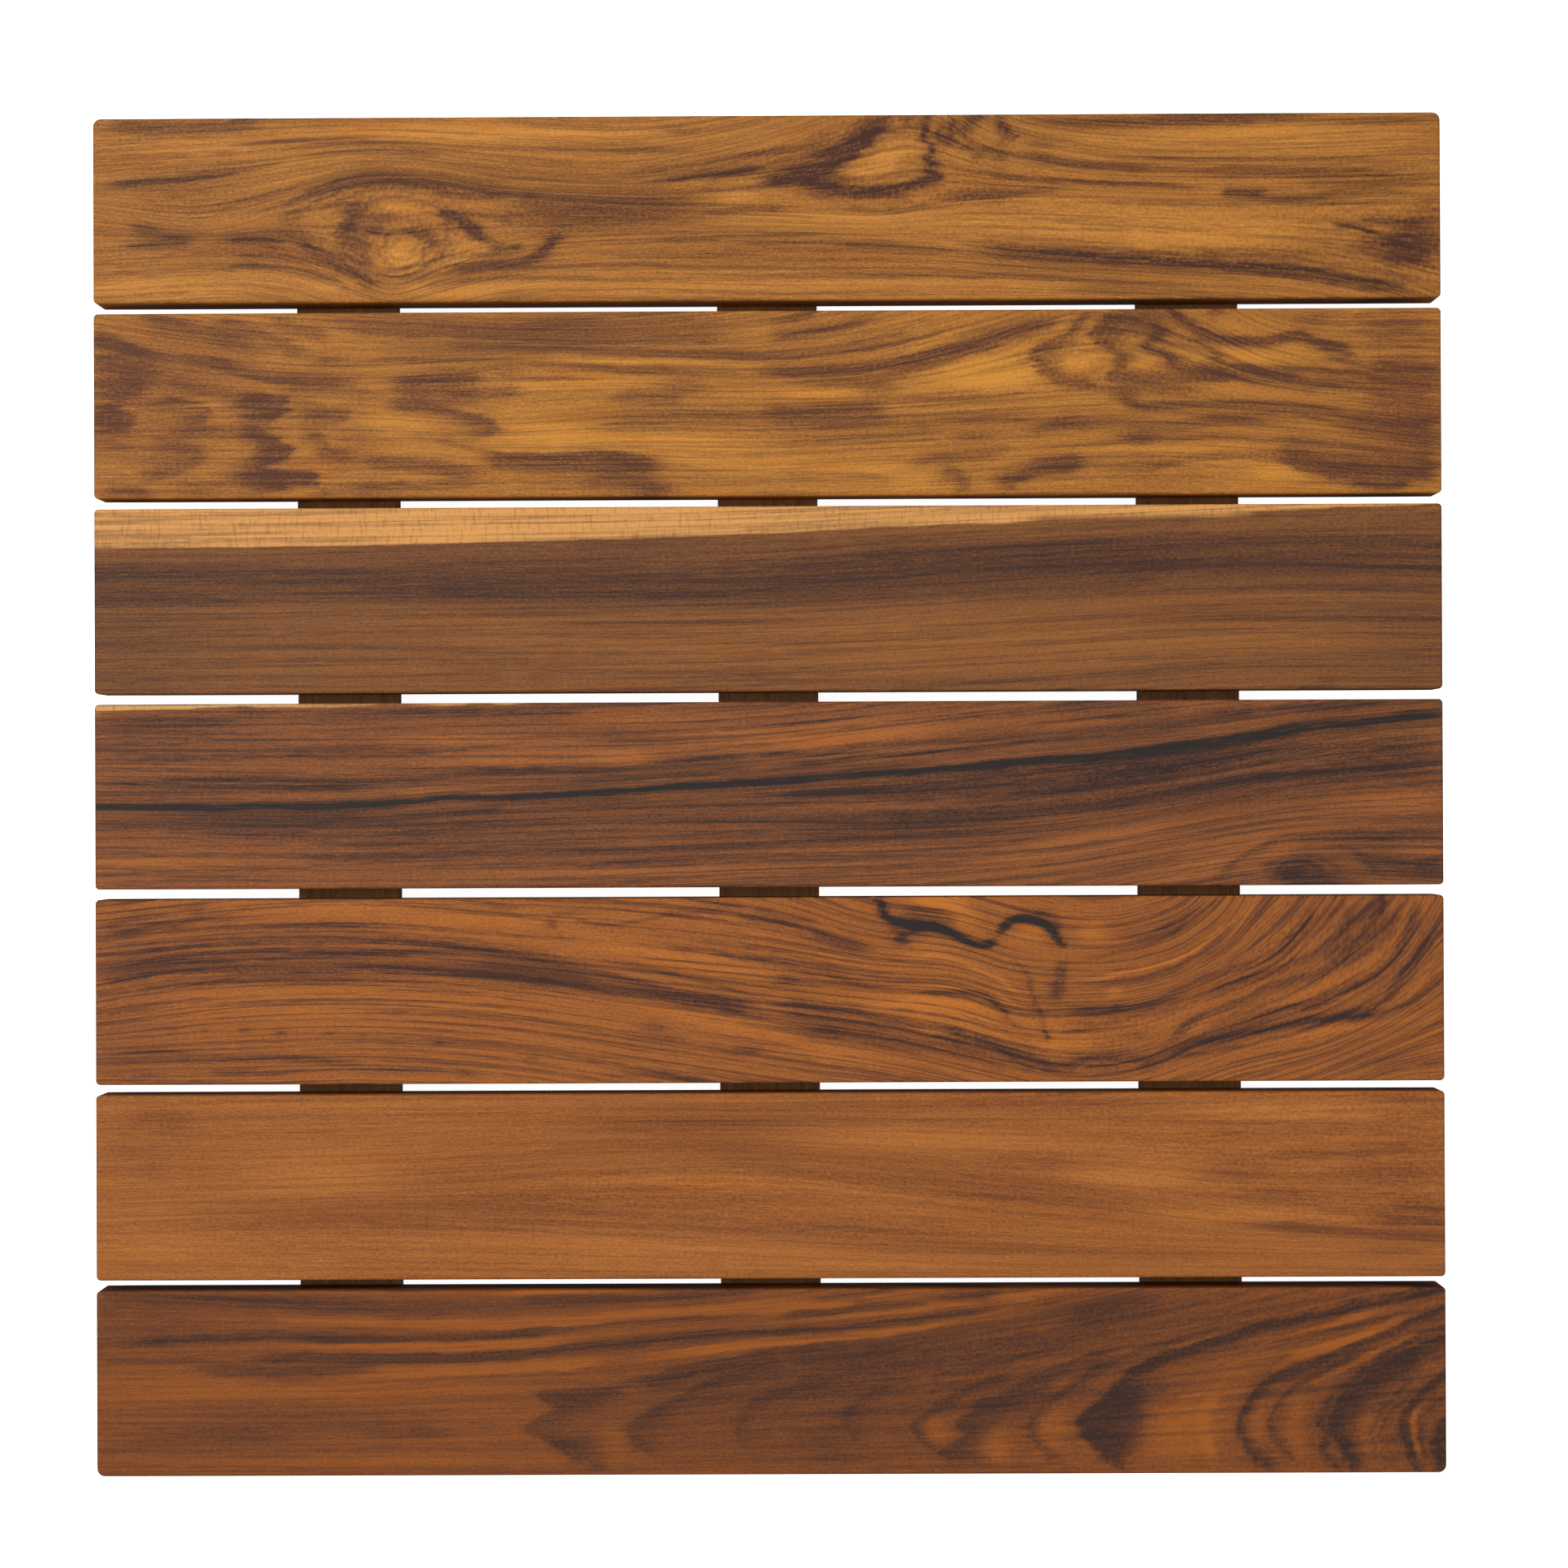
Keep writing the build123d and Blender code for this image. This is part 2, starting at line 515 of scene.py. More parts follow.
@dataclass(frozen=True)
class Figure:
    """The grain of one board: rails from its lower edge to its upper edge, and the marks on it."""

    seed: int
    rails: tuple[Rail, ...]
    dark: tuple[Line | Patch, ...]
    shade: tuple[Line | Patch, ...] = ()
    sapwood: Rail | None = None
    feather: float = 3.0
    wander: float = 0.7

    def level(self, x: Array, y: Array) -> Array:
        """Level of the grain: in proportion between the rails below and above, and on beyond the last.

        Args:
            x: Places along the board.
            y: Places across it.

        Returns:
            The level, constant along each line of grain.
        """
        level = np.zeros_like(x)
        for lower, upper in zip(self.rails, self.rails[1:]):
            low = lower.height(x)
            gap = np.maximum(upper.height(x) - low, 0.5)
            part = lower.level + (y - low) / gap * (upper.level - lower.level)
            level = np.where((y >= low) | (lower is self.rails[0]), part, level)
        return level

    def measure(self, x: Array, y: Array) -> tuple[Array, Array, Array, Array]:
        """Read the figure, with its marks' edges feathered along the fibres.

        Args:
            x: Places along the board.
            y: Places across it.

        Returns:
            Level, darkness, shade (below 0 where paler) and share of sapwood.
        """
        level = self.level(x, y)
        feather = self.feather * ripple(x / FEATHER_SIZE[0], y / FEATHER_SIZE[1], self.seed + 1)
        drift = DRIFT * ripple(x / DRIFT_SIZE[0], y / DRIFT_SIZE[1], self.seed + 2)
        along = x + feather + drift
        across = y + self.wander * ripple(x / WANDER_SIZE[0], y / WANDER_SIZE[1], self.seed + 3, 3)
        light, clear = np.ones_like(x), np.ones_like(x)
        for mark in self.dark:
            light *= 1 - mark.draw(along, across)
            clear *= 1 - HALO_SHARE * mark.halo().draw(along, across)
        shade = sum((mark.draw(along, across) for mark in self.shade), HALO_SHADE * (1 - clear) - PALER)
        sap = np.zeros_like(x)
        if self.sapwood:
            sap = smooth((across - self.sapwood.height(along)) / SAP_BLUR + 0.5)
        return level, 1 - light, shade, sap


# --- Pieces ----------------------------------------------------------------------------------------


@dataclass(frozen=True)
class Layer:
    """One layer of noise in the wood: its clouds to the metre each way, and its finer detail."""

    along: float
    across: float
    down: float
    detail: float = 2.0
    roughness: float = 0.5

    def read(self, graph: Graph, place: tuple[Socket, Socket, Socket]) -> Socket:
        """Noise of the layer.

        Args:
            graph: The material's graph.
            place: Place in the grain: along it, its level and the depth below the face.

        Returns:
            The noise, about 0.5.
        """
        x, level, depth = place
        stretched = graph.vector(x * self.along, level * self.across, depth * self.down)
        return graph.noise(stretched, self.detail, self.roughness)


# Layers of the teak, from broad streaks to pores, then its growth lines, glow and sapwood flecks
BROAD = Layer(6, 260, 60, roughness=0.6)
STRATA = Layer(14, 800, 150, detail=3.0, roughness=0.65)
FIBRES = Layer(110, 2400, 900, roughness=0.6)
PORES = Layer(700, 1500, 1200, detail=1.0)
GROWTH = Layer(4, 330, 90)
GLOW = Layer(22, 110, 80, roughness=0.55)
FLECKS = Layer(900, 160, 400, detail=1.0)

RINGS_PER_METRE = 230
GLOW_TINT = srgb(255, 236, 190)
SAP_FLECK = srgb(176, 118, 64)


@dataclass(frozen=True)
class WoodFinish:
    """Colours of one piece of oiled teak, and how strong its grain is."""

    light: Colour
    deep: Colour
    dark: Colour = srgb(52, 33, 24)
    sap: Colour = srgb(214, 160, 96)
    black: Colour | None = None
    streaks: float = 0.15
    fibres: float = 0.4
    rings: float = 0.2
    lines: float = 0.4
    marks: float = 0.8

    def material(self, name: str, grain: "Grain") -> bpy.types.Material:
        """Make the wood's material.

        The colour runs from light to deep by the board's shade and by strata, noise drawn out along
        the grain; marks, fine dark lines, pores and crosswise flecks of sapwood lie over it.

        Args:
            name: The material's name.
            grain: Where the pattern is read from.

        Returns:
            The material.
        """
        graph = Graph(name)
        place = grain.place(graph)
        dark, shade, sap = grain.marks(graph)
        broad, strata, fibre, pores, growth, glow, fleck = (
            layer.read(graph, place) for layer in (BROAD, STRATA, FIBRES, PORES, GROWTH, GLOW, FLECKS)
        )

        # The clear wood, with a glow where it is palest
        ring = (place[1] * RINGS_PER_METRE + broad * 3.0).math("FRACT") ** 3.0
        streaks = (broad - 0.5) * (5.0 * self.streaks) + (strata - 0.5) * (4.0 * self.streaks)
        fine = (fibre - 0.5) * (2.6 * self.fibres) + (pores - 0.5) * 1.2
        tone = 0.42 + shade * 1.3 + streaks + fine + ring * self.rings
        colour = graph.mix(tone.clamp(-0.35, 1.35), self.light, self.deep)
        warm = glow.band(0.5, 0.72) * (1.1 - tone).clamp()
        colour = graph.mix(warm * 0.5, colour, graph.mix(1.0, colour, GLOW_TINT, "MULTIPLY"))

        # Sapwood, flecked across the grain
        flecked = fleck.band(0.5, 0.68) * 0.45 + (strata - 0.5) * 1.2 + (pores - 0.4)
        colour = graph.mix(sap, colour, graph.mix(flecked.clamp(), self.sap, SAP_FLECK))

        # Marks with ragged edges, growth lines, black heart of the marks, and end grain
        ragged = (strata - 0.5) * 0.6 + (fibre - 0.5) * 0.5
        ridge = 1 - (growth * 2 - 1).math("ABSOLUTE")
        growth_line = ridge.band(0.82, 0.97) * (strata + fibre * 0.6).band(0.55, 0.95)
        crisp = (dark * 1.05 + ragged * (dark * 1.2).clamp()).clamp()
        strength = crisp * (self.marks + (pores - 0.5) * 0.9) + growth_line * self.lines
        colour = graph.mix(strength.clamp(), colour, self.dark)
        if self.black:
            colour = graph.mix((dark + ragged * 0.7).band(0.82, 1.0), colour, self.black)
        colour = graph.mix(grain.end(graph) * 0.35, colour, self.dark)

        height = fibre * 0.5 + strata * 0.3 + pores * 0.3
        return graph.principled(
            Base_Color=colour,
            Roughness=0.52 + (fibre - 0.5) * 0.3 + (pores - 0.5) * 0.1,
            Normal=graph.bump(height, 0.00025, 0.6),
            Specular_IOR_Level=0.2,
        )


class Grain(Enum):
    """Where a piece of wood reads its pattern: its own attributes, or straight along one axis."""

    FIGURED = "figured"
    ALONG_Y = "along y"

    def place(self, graph: Graph) -> tuple[Socket, Socket, Socket]:
        """Place in the grain, which sways gently where it has no figure of its own.

        Args:
            graph: The material's graph.

        Returns:
            Places along the grain, across it and down through the thickness, in metres.
        """
        if self is Grain.FIGURED:
            return graph.attribute("grain")
        x, y, z = graph.place()
        sway = (graph.noise(graph.vector(x * 8, y * 6, z * 8), 1.0) - 0.5) * 0.006
        return y, x + sway + z * 0.4, z

    def marks(self, graph: Graph) -> tuple[Socket, Socket, Socket]:
        """Darkness, shade and sapwood, all none where the wood has no figure of its own.

        Args:
            graph: The material's graph.

        Returns:
            The three of them.
        """
        if self is Grain.FIGURED:
            return graph.attribute("marks")
        return graph.split(graph.vector(0.0, 0.0, 0.0))

    def end(self, graph: Graph) -> Socket:
        """How far the surface faces along the grain, where the open ends of the fibres soak up oil.

        Args:
            graph: The material's graph.

        Returns:
            0 on the faces, 1 on the ends.
        """
        facing = graph.split(graph.node("ShaderNodeNewGeometry", {}, {}, "Normal"))
        axis = facing[0] if self is Grain.FIGURED else facing[1]
        return axis.math("ABSOLUTE").band(0.6, 0.95)


# Distances in from a board's edge: closer steps near it, even steps from there on, and the rings
# that close its ends down to a small core
NEAR_EDGE = (0.0016, 0.0022, 0.003)
FLAT_FROM = 0.006
END_RINGS = (*NEAR_EDGE, 0.0045, FLAT_FROM, 0.0075)
END_CORE = 0.0003


@dataclass
class Slat:
    """One board of the mat: its node, its figure, and its sizes in metres.

    The corner radii are those of the sides towards -Y and +Y. The narrowing draws the figure in
    on the way down, as rings that close in towards the heart of the tree.
    """

    node: str
    figure: Figure
    finish: WoodFinish
    corner: tuple[float, float] = (0.0016, 0.0016)
    edge: float = 0.0012
    step_along: float = 0.00115
    step_across: float = 0.0005
    step_under: float = 0.006
    step_down: float = 0.0009
    steps_round: int = 4
    narrowing: float = 0.35

    def stations(self, half: float, step: float) -> Array:
        """Places from -half to half: a fan of equal angles round each eased edge, then even steps.

        Args:
            half: Half the size.
            step: The longest even step.

        Returns:
            The places, evenly matched on both sides.
        """
        angles = np.linspace(0, math.pi / 4, self.steps_round + 1)
        rim = half - self.edge + self.edge * np.tan(angles)
        near = half - np.array(NEAR_EDGE[::-1])
        count = math.ceil((half - FLAT_FROM) / step)
        middle = np.linspace(0, half - FLAT_FROM, count + 1)
        side = np.concatenate([middle, near, rim])
        return np.concatenate([-side[:0:-1], side])

    def section(self, half_width: float, half_height: float) -> Array:
        """Sharp outline of the board's section, top first, then down, back underneath and up.

        Args:
            half_width: Half the board's width.
            half_height: Half its thickness.

        Returns:
            Its points, one row each, without repeating the first.
        """
        top = self.stations(half_width, self.step_across)
        under = self.stations(half_width, self.step_under)
        side = self.stations(half_height, self.step_down)[1:-1]
        right, lid = np.full(len(side), half_width), np.full(len(top), half_height)
        across = np.concatenate([top, right, under[::-1], -right])
        up = np.concatenate([lid, side[::-1], np.full(len(under), -half_height), side])
        return np.stack([across, up], axis=1)

    def surface(self, half: Vector) -> tuple[Array, int, int]:
        """Points of the board: its section carried along X, and closed over each end by smaller copies.

        Each point of the sharp box is then eased: within a corner's radius of the plan, a square is
        drawn in to a circle, and so is the square where the top or bottom meets the rim.

        Args:
            half: Half the board's length, width and thickness.

        Returns:
            The points, with the two end points last, and the counts of rings and of points in a ring.
        """
        outline = self.section(half.y, half.z)
        fan = self.edge * (1 - np.tan(np.linspace(math.pi / 4, 0, self.steps_round + 1)))
        inset = np.concatenate([fan[1:], END_RINGS, [half.z - END_CORE]])
        along = self.stations(half.x, self.step_along)
        x = np.concatenate([np.full(len(inset), -half.x), along, np.full(len(inset), half.x)])
        inward = np.concatenate([inset[::-1], np.zeros(len(along)), inset])[:, None]
        y = outline[:, 0] * (1 - inward / half.y)
        z = outline[:, 1] * (1 - inward / half.z)
        rings = np.stack([np.broadcast_to(x[:, None], y.shape), y, z], axis=2).reshape(-1, 3)
        points = np.vstack([rings, [[-half.x, 0, 0], [half.x, 0, 0]]])
        return self.ease(points, half), len(x), len(outline)

    def ease(self, points: Array, half: Vector) -> Array:
        """Round the corners of the plan and ease the edges of a sharp box.

        Args:
            points: Points on the sharp box.
            half: Its half sizes.

        Returns:
            The points of the eased board.
        """
        plan, height = points[:, :2], points[:, 2]
        radius = np.where(plan[:, 1] > 0, self.corner[1], self.corner[0])[:, None]
        size = np.array([half.x, half.y])
        core = np.clip(plan, radius - size, size - radius)
        off = plan - core
        reach = np.abs(off).max(1)
        away = off / np.maximum(np.hypot(*off.T), 1e-9)[:, None]
        radius = radius[:, 0]
        rim = np.maximum(reach - (radius - self.edge), 0)
        lid = np.maximum(np.abs(height) - (half.z - self.edge), 0)
        scale = np.maximum(rim, lid) / np.maximum(np.hypot(rim, lid), 1e-9)
        reach = np.where(rim > 0, radius - self.edge + rim * scale, reach)
        height = np.where(lid > 0, np.sign(height) * (half.z - self.edge + lid * scale), height)
        return np.column_stack([core + away * reach[:, None], height])

    def build(self) -> bpy.types.Object:
        """Make the board in its node's place, with its grain in attributes, and dress it.

        Returns:
            The finished object.
        """
        low, high = (Vector(corner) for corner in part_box(self.node))
        half, middle = (high - low) / 2, (high + low) / 2
        points, rings, around = self.surface(half)
        ring, spot = np.meshgrid(np.arange(rings - 1), np.arange(around), indexing="ij")
        here, there = ring * around + spot, ring * around + (spot + 1) % around
        quads = np.stack([here, here + around, there + around, there], axis=2).reshape(-1, 4)
        first, last = np.arange(around), (rings - 1) * around + np.arange(around)
        tip = np.full(around, rings * around)
        start_cap = np.stack([tip, first, np.roll(first, -1)], 1)
        end_cap = np.stack([tip + 1, np.roll(last, -1), last], 1)
        faces = quads.tolist() + start_cap.tolist() + end_cap.tolist()

        mesh = bpy.data.meshes.new(self.node + "_board")
        mesh.from_pydata((points + middle).tolist(), [], faces)
        mesh.shade_smooth()
        depth = half.z - points[:, 2]
        x, y = points[:, 0] / MM, points[:, 1] / MM * (1 - self.narrowing * depth / half.y)
        level, dark, shade, sap = self.figure.measure(x, y)
        self.attribute(mesh, "grain", np.stack([points[:, 0] + self.figure.seed, level * MM, depth], 1))
        self.attribute(mesh, "marks", np.stack([dark, shade, sap], 1))
        board = bpy.data.objects.new(self.node + "_board", mesh)
        bpy.context.collection.objects.link(board)
        mesh.materials.append(self.finish.material("teak_" + self.node, Grain.FIGURED))
        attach(board, "root")
        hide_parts(self.node)
        log.info("%s: %d faces", board.name, len(mesh.polygons))
        return board

    @staticmethod
    def attribute(mesh: bpy.types.Mesh, name: str, values: Array) -> None:
        """Store a vector on every point of a mesh.

        Args:
            mesh: The mesh.
            name: The attribute's name.
            values: One row of three numbers for each point.
        """
        layer = mesh.attributes.new(name, "FLOAT_VECTOR", "POINT")
        layer.data.foreach_set("vector", values.astype(np.float32).ravel())


# --- Figures and finishes, board by board ---------------------------------------------------------

FIGURE_1 = Figure(
    seed=11,
    rails=(
        Rail(-34, ((-254, -34), (-190, -32), (-142, -40), (-100, -33), (0, -33), (100, -33), (180, -37),
            (254, -46))),
        Rail(-14, ((-254, -13), (-210, -12), (-180, -14), (-160, -21), (-142, -29), (-122, -23),
            (-100, -17), (-60, -13), (0, -12), (60, -14), (100, -18), (150, -22), (205, -26), (230, -31),
            (254, -38))),
        Rail(0, ((-254, 0), (-212, -6), (-180, 2), (-155, 9), (-130, 10), (-100, 5), (-60, 2), (0, 0),
            (40, -2), (80, 3), (120, 3), (180, 1), (254, 1))),
        Rail(16, ((-254, 10), (-200, 14), (-145, 20), (-95, 15), (-50, 14), (-10, 21), (20, 30), (55, 42),
            (85, 25), (115, 18), (180, 15), (254, 17))),
        Rail(34, ((-254, 33), (-190, 34), (-110, 33), (-40, 31), (10, 40), (55, 56), (100, 37), (140, 33),
            (254, 34))),
    ),
    dark=(
        line(0.5, 2, (-254, 32.5), (-220, 31.5), (-200, 33), (-184, 35), right=2.5),
        line(0.35, 1.5, (-112, 35), (-78, 32), (-40, 30), (-10, 29)),
        line(0.3, 1.2, (-150, 24), (-100, 23), (-50, 22), (-10, 20)),
        line(0.6, 1, (-256, 8.3), (-228, 10.5), (-208, 13), (-190, 16.5), left=2.2),
        line(0.4, 1.2, (-225, 14), (-200, 15), (-178, 19)),
        line(0.3, 1.2, (-210, 24), (-170, 26), (-120, 25)),
        line(0.3, 1.5, (-180, 20), (-150, 22), (-115, 20)),
        line(0.35, 1.5, (-215, 1), (-195, 4), (-172, 11), (-150, 15.5), (-130, 14), (-105, 11),
            (-70, 11)),
        line(0.35, 1, (-205, -3), (-185, 1), (-170, 8), (-150, 13.5), (-125, 12)),
        line(0.6, 1.2, (-190, 1.5), (-175, 5), (-160, 10.5), (-145, 12.3), (-125, 10.3), (-108, 8),
            (-95, 6.5), (-82, 5.2), left=1.2, right=2),
        line(0.5, 1, (-184, -3), (-172, 2), (-160, 7.5), (-146, 10), (-130, 8.8), (-115, 5.5),
            (-104, 2.5)),
        line(0.45, 0.8, (-172, -3), (-162, 3), (-150, 7.5), (-136, 8.2), (-122, 5)),
        line(0.45, 2, (-130, 6), (-112, 5), (-92, 5), (-78, 4)),
        line(0.3, 4, (-112, 2), (-80, 0), (-45, 1), (-10, -1), left=3, right=4),
        Patch(0.25, -70, -7, 34, 3),
        line(0.85, 2, (-128, 0), (-118, -3), (-110, -8), (-99, -14.5), left=1, right=1.6, fade=0.25),
        line(0.6, 1.5, (-106, -15), (-97, -14.3), (-90, -14.6)),
        line(0.4, 1.5, (-125, -1), (-110, -2), (-92, -6)),
        line(0.75, 1.4, (-122, -22), (-106, -20.3), (-94, -20), (-86, -17), (-80, -12), (-74, -11),
            left=1, right=2, fade=0.2),
        Patch(0.7, -78.5, -10.8, 3.2, 1.6), line(0.4, 1, (-120, -18), (-104, -17), (-90, -17)),
        line(0.5, 1, (-137, -28), (-122, -24.5), (-105, -22.5), (-85, -22), (-50, -21), (-20, -22)),
        line(0.4, 1.2, (-134, -31), (-118, -27.5), (-98, -26), (-50, -27)),
        line(0.35, 1, (-70, -17.5), (-35, -18), (5, -17)),
        line(0.35, 1, (-50, -12), (-15, -11), (30, -10)),
        line(0.7, 2, (-182, -10), (-172, -14), (-161, -20), (-150, -27), (-142, -32), left=1, right=1.6,
            fade=0.25),
        line(0.5, 1, (-205, -17), (-180, -17.5), (-165, -22), (-150, -29)),
        line(0.45, 1, (-210, -22), (-185, -21), (-168, -25), (-150, -32)), Patch(0.5, -178, -9.5, 9, 2.5),
        line(0.55, 1.2, (-205, -12), (-192, -11), (-180, -12)), Patch(0.4, -196, -11, 10, 2),
        Patch(0.4, -178, -2, 7, 2.5, 25), Patch(0.55, -224, -10, 8, 1.3), Patch(0.45, -236, -6.5, 6, 2.4),
        line(0.55, 1.2, (-246, -14), (-232, -12.5), (-216, -12)), Patch(0.35, -228, -9, 16, 4),
        Ring(0.5, -139.5, -10.5, 19.5, 15.2, 4, width=0.9),
        Ring(0.3, -139, -10.5, 22.5, 17.5, 4, width=0.7), Patch(0.7, -157, -5, 4.5, 7, -8),
        Patch(0.6, -153.5, -13, 4.5, 4), Patch(0.65, -147, -6.5, 5.5, 3.6),
        Patch(0.45, -150.5, -19, 3, 3.5), Patch(0.5, -152, 0, 6, 3), Patch(0.6, -127, -11.5, 3.4, 4.2),
        Patch(0.45, -131.5, -8, 4, 2.4), Ring(0.5, -136.5, -15, 8.2, 7.4, width=0.7),
        Ring(0.35, -137, -15, 5, 4.2, width=0.6), Patch(0.4, -142, -2.5, 8, 2),
        line(0.45, 1.4, (-62, 12), (-35, 15.5), (-10, 19.5), (12, 23), (28, 30)),
        line(0.4, 1.4, (-50, 9.5), (-25, 12), (0, 14)),
        line(0.5, 1.4, (-42, 10.5), (-28, 12), (-12, 14.5), (5, 16)),
        line(0.35, 5, (-100, 4), (-60, 4), (-25, 5), left=3, right=3),
        line(0.45, 1.5, (-30, -3), (-10, -1), (12, -1)), Patch(0.4, -12, 12, 12, 2, 10),
        line(0.4, 1.2, (-40, 5), (-15, 6.5), (4, 8)),
        line(0.75, 4, (-6, 9), (8, 11.5), (20, 15), (31, 21), (40, 29), (48, 37), left=3, right=1.2,
            fade=0.2),
        Patch(0.65, 18, 11.5, 11, 2.4, 3), Patch(0.6, 36, 27, 5, 6, 35), Patch(0.5, 28, 18, 6, 3, 35),
        Patch(0.5, 44, 32, 6, 4), Patch(0.35, 20, 22, 10, 4, 25),
        line(0.85, 2, (8, 11), (22, 8), (38, 6.2), (50, 7.8), (62, 11), (69, 10.6), left=1, right=1.6,
            fade=0.15),
        line(0.5, 1.4, (4, 6), (25, 4.6), (45, 4.8), (62, 8)),
        line(0.8, 1.4, (62.5, 37), (61, 28), (62.5, 20), (62, 13), (67, 10.5), left=0.8, right=1.2,
            fade=0.1),
        Patch(0.7, 67.5, 26.5, 3, 4.6), Patch(0.55, 55, 33, 3, 3),
        line(0.7, 1.4, (68, 35), (72, 29), (70, 23)), Patch(0.75, 76.5, 30, 3.6, 4.6),
        Patch(0.5, 80, 34, 4, 2), line(0.6, 1.2, (68, 25), (75, 22.5), (84, 21.5), (94, 20)),
        Patch(0.5, 64.5, 15, 1.6, 3), Patch(0.55, 90, 28, 2.6, 5, -10),
        line(0.5, 1.2, (82, 36), (90, 32.5), (93, 26), (90, 22)), Patch(0.55, 79, 19, 2.4, 1.4),
        Patch(0.55, 87.5, 19, 2, 1.2), Patch(0.4, 104, 23, 5, 1.4),
        line(0.6, 1.2, (84, 22), (98, 19.5), (112, 17), (130, 15.6), (152, 15.5), right=1.6),
        line(0.5, 1.2, (104, 17.5), (135, 14), (175, 13.5), (215, 13), (256, 14)),
        line(0.4, 1, (120, 18.5), (165, 17.5), (205, 17), (256, 17.5)),
        line(0.4, 1, (150, 11.5), (200, 11), (256, 11)),
        line(0.55, 1.4, (95, 13), (108, 10.3), (128, 9), (150, 7.3), (170, 7)),
        line(0.4, 1, (78, 13), (96, 10), (115, 8.5)), Patch(0.45, 82, 5, 16, 2.2),
        line(0.4, 1.6, (60, 3), (80, 3.5), (105, 6.5), (118, 6)),
        line(0.3, 1, (20, 1), (45, -1.5), (75, 1.5)),
        line(0.65, 2, (86, 33), (110, 30.5), (140, 31.5), (175, 33), (222, 34.5), left=2),
        line(0.35, 1, (170, 29.5), (215, 31.5), (256, 31)), Patch(0.4, 135, 30, 30, 1.2),
        line(0.75, 1.4, (168, 4.4), (178, 4.4), (190, 3.6), left=1.2), Patch(0.45, 198, 3, 18, 1.8),
        line(0.5, 1.4, (200, 4), (222, 5.2), (236, 5), (248, 3.2)),
        line(0.3, 1, (180, 1), (215, 0), (245, 1)), line(0.35, 1, (196, 9), (225, 8.5), (256, 9)),
        line(0.75, 1.8, (70, -16.7), (98, -18.4), (122, -20.2), (150, -21.6), (176, -23.5), (204, -26.4),
            (214, -28), (226, -30.5), (240, -32.5), (250, -36), left=2.5, right=1, fade=0.12),
        line(0.4, 1.2, (20, -14.5), (55, -15.5), (80, -17)),
        line(0.4, 1.2, (0, -24.5), (45, -25), (90, -26.5), (140, -29), (180, -31)),
        line(0.35, 1, (60, -21.5), (110, -23.5), (150, -25.5), (195, -29)),
        line(0.3, 1, (-20, -14), (25, -13), (70, -14)),
        line(0.35, 1.2, (100, -31), (160, -33.5), (200, -35)), Patch(0.75, 238, -15.5, 6.5, 4),
        Patch(0.65, 246, -19.5, 5.5, 3), Patch(0.5, 229, -15, 4, 1.5), Patch(0.5, 244, -11, 6, 3),
        Patch(0.35, 241, -15, 13, 8), line(0.7, 1.4, (211, -7.5), (219, -8), (227, -9.5), (234, -11)),
        Patch(0.5, 237, -22, 5, 1.6), line(0.4, 1.4, (222, -4), (236, -6), (256, -6)),
        line(0.4, 1, (150, -16), (190, -19), (215, -21)),
    ),
    shade=(
        Patch(-0.55, 44, 17.5, 10, 4.5, 22), Patch(-0.3, 30, 13.5, 8, 2), Patch(-0.45, -136, -18, 9, 6),
        Patch(-0.3, -112, -15, 9, 3.5), Patch(-0.35, -142, 0.5, 12, 2.5), Patch(-0.3, -160, -28, 10, 2),
        Patch(-0.3, -120, -31, 20, 2), Patch(-0.3, -115, -20, 8, 1.5), Patch(-0.35, -10, 6, 7, 5),
        Patch(-0.3, -225, -29, 50, 4), Patch(-0.35, 190, 25, 60, 5), Patch(-0.3, 130, -8, 60, 8),
        Patch(0.25, -60, -4, 40, 8), Patch(0.3, 250, -8, 10, 14), Patch(-0.3, -215, 24, 30, 3),
        Patch(0.2, -80, 14, 50, 5), Patch(0.2, 10, -19, 60, 6), Patch(-0.3, 25, -5, 50, 3),
        Patch(0.2, -215, 4, 30, 6), Patch(-0.3, -60, -30, 80, 2.5), Patch(-0.25, 60, -29, 50, 2),
        Patch(-0.25, 170, -13, 30, 3), Patch(0.2, 85, 12, 20, 6), Patch(-0.25, -65, 27, 60, 3),
        Patch(-0.3, -120, 29, 60, 3), Patch(0.25, -195, -14, 25, 8),
    ),
)

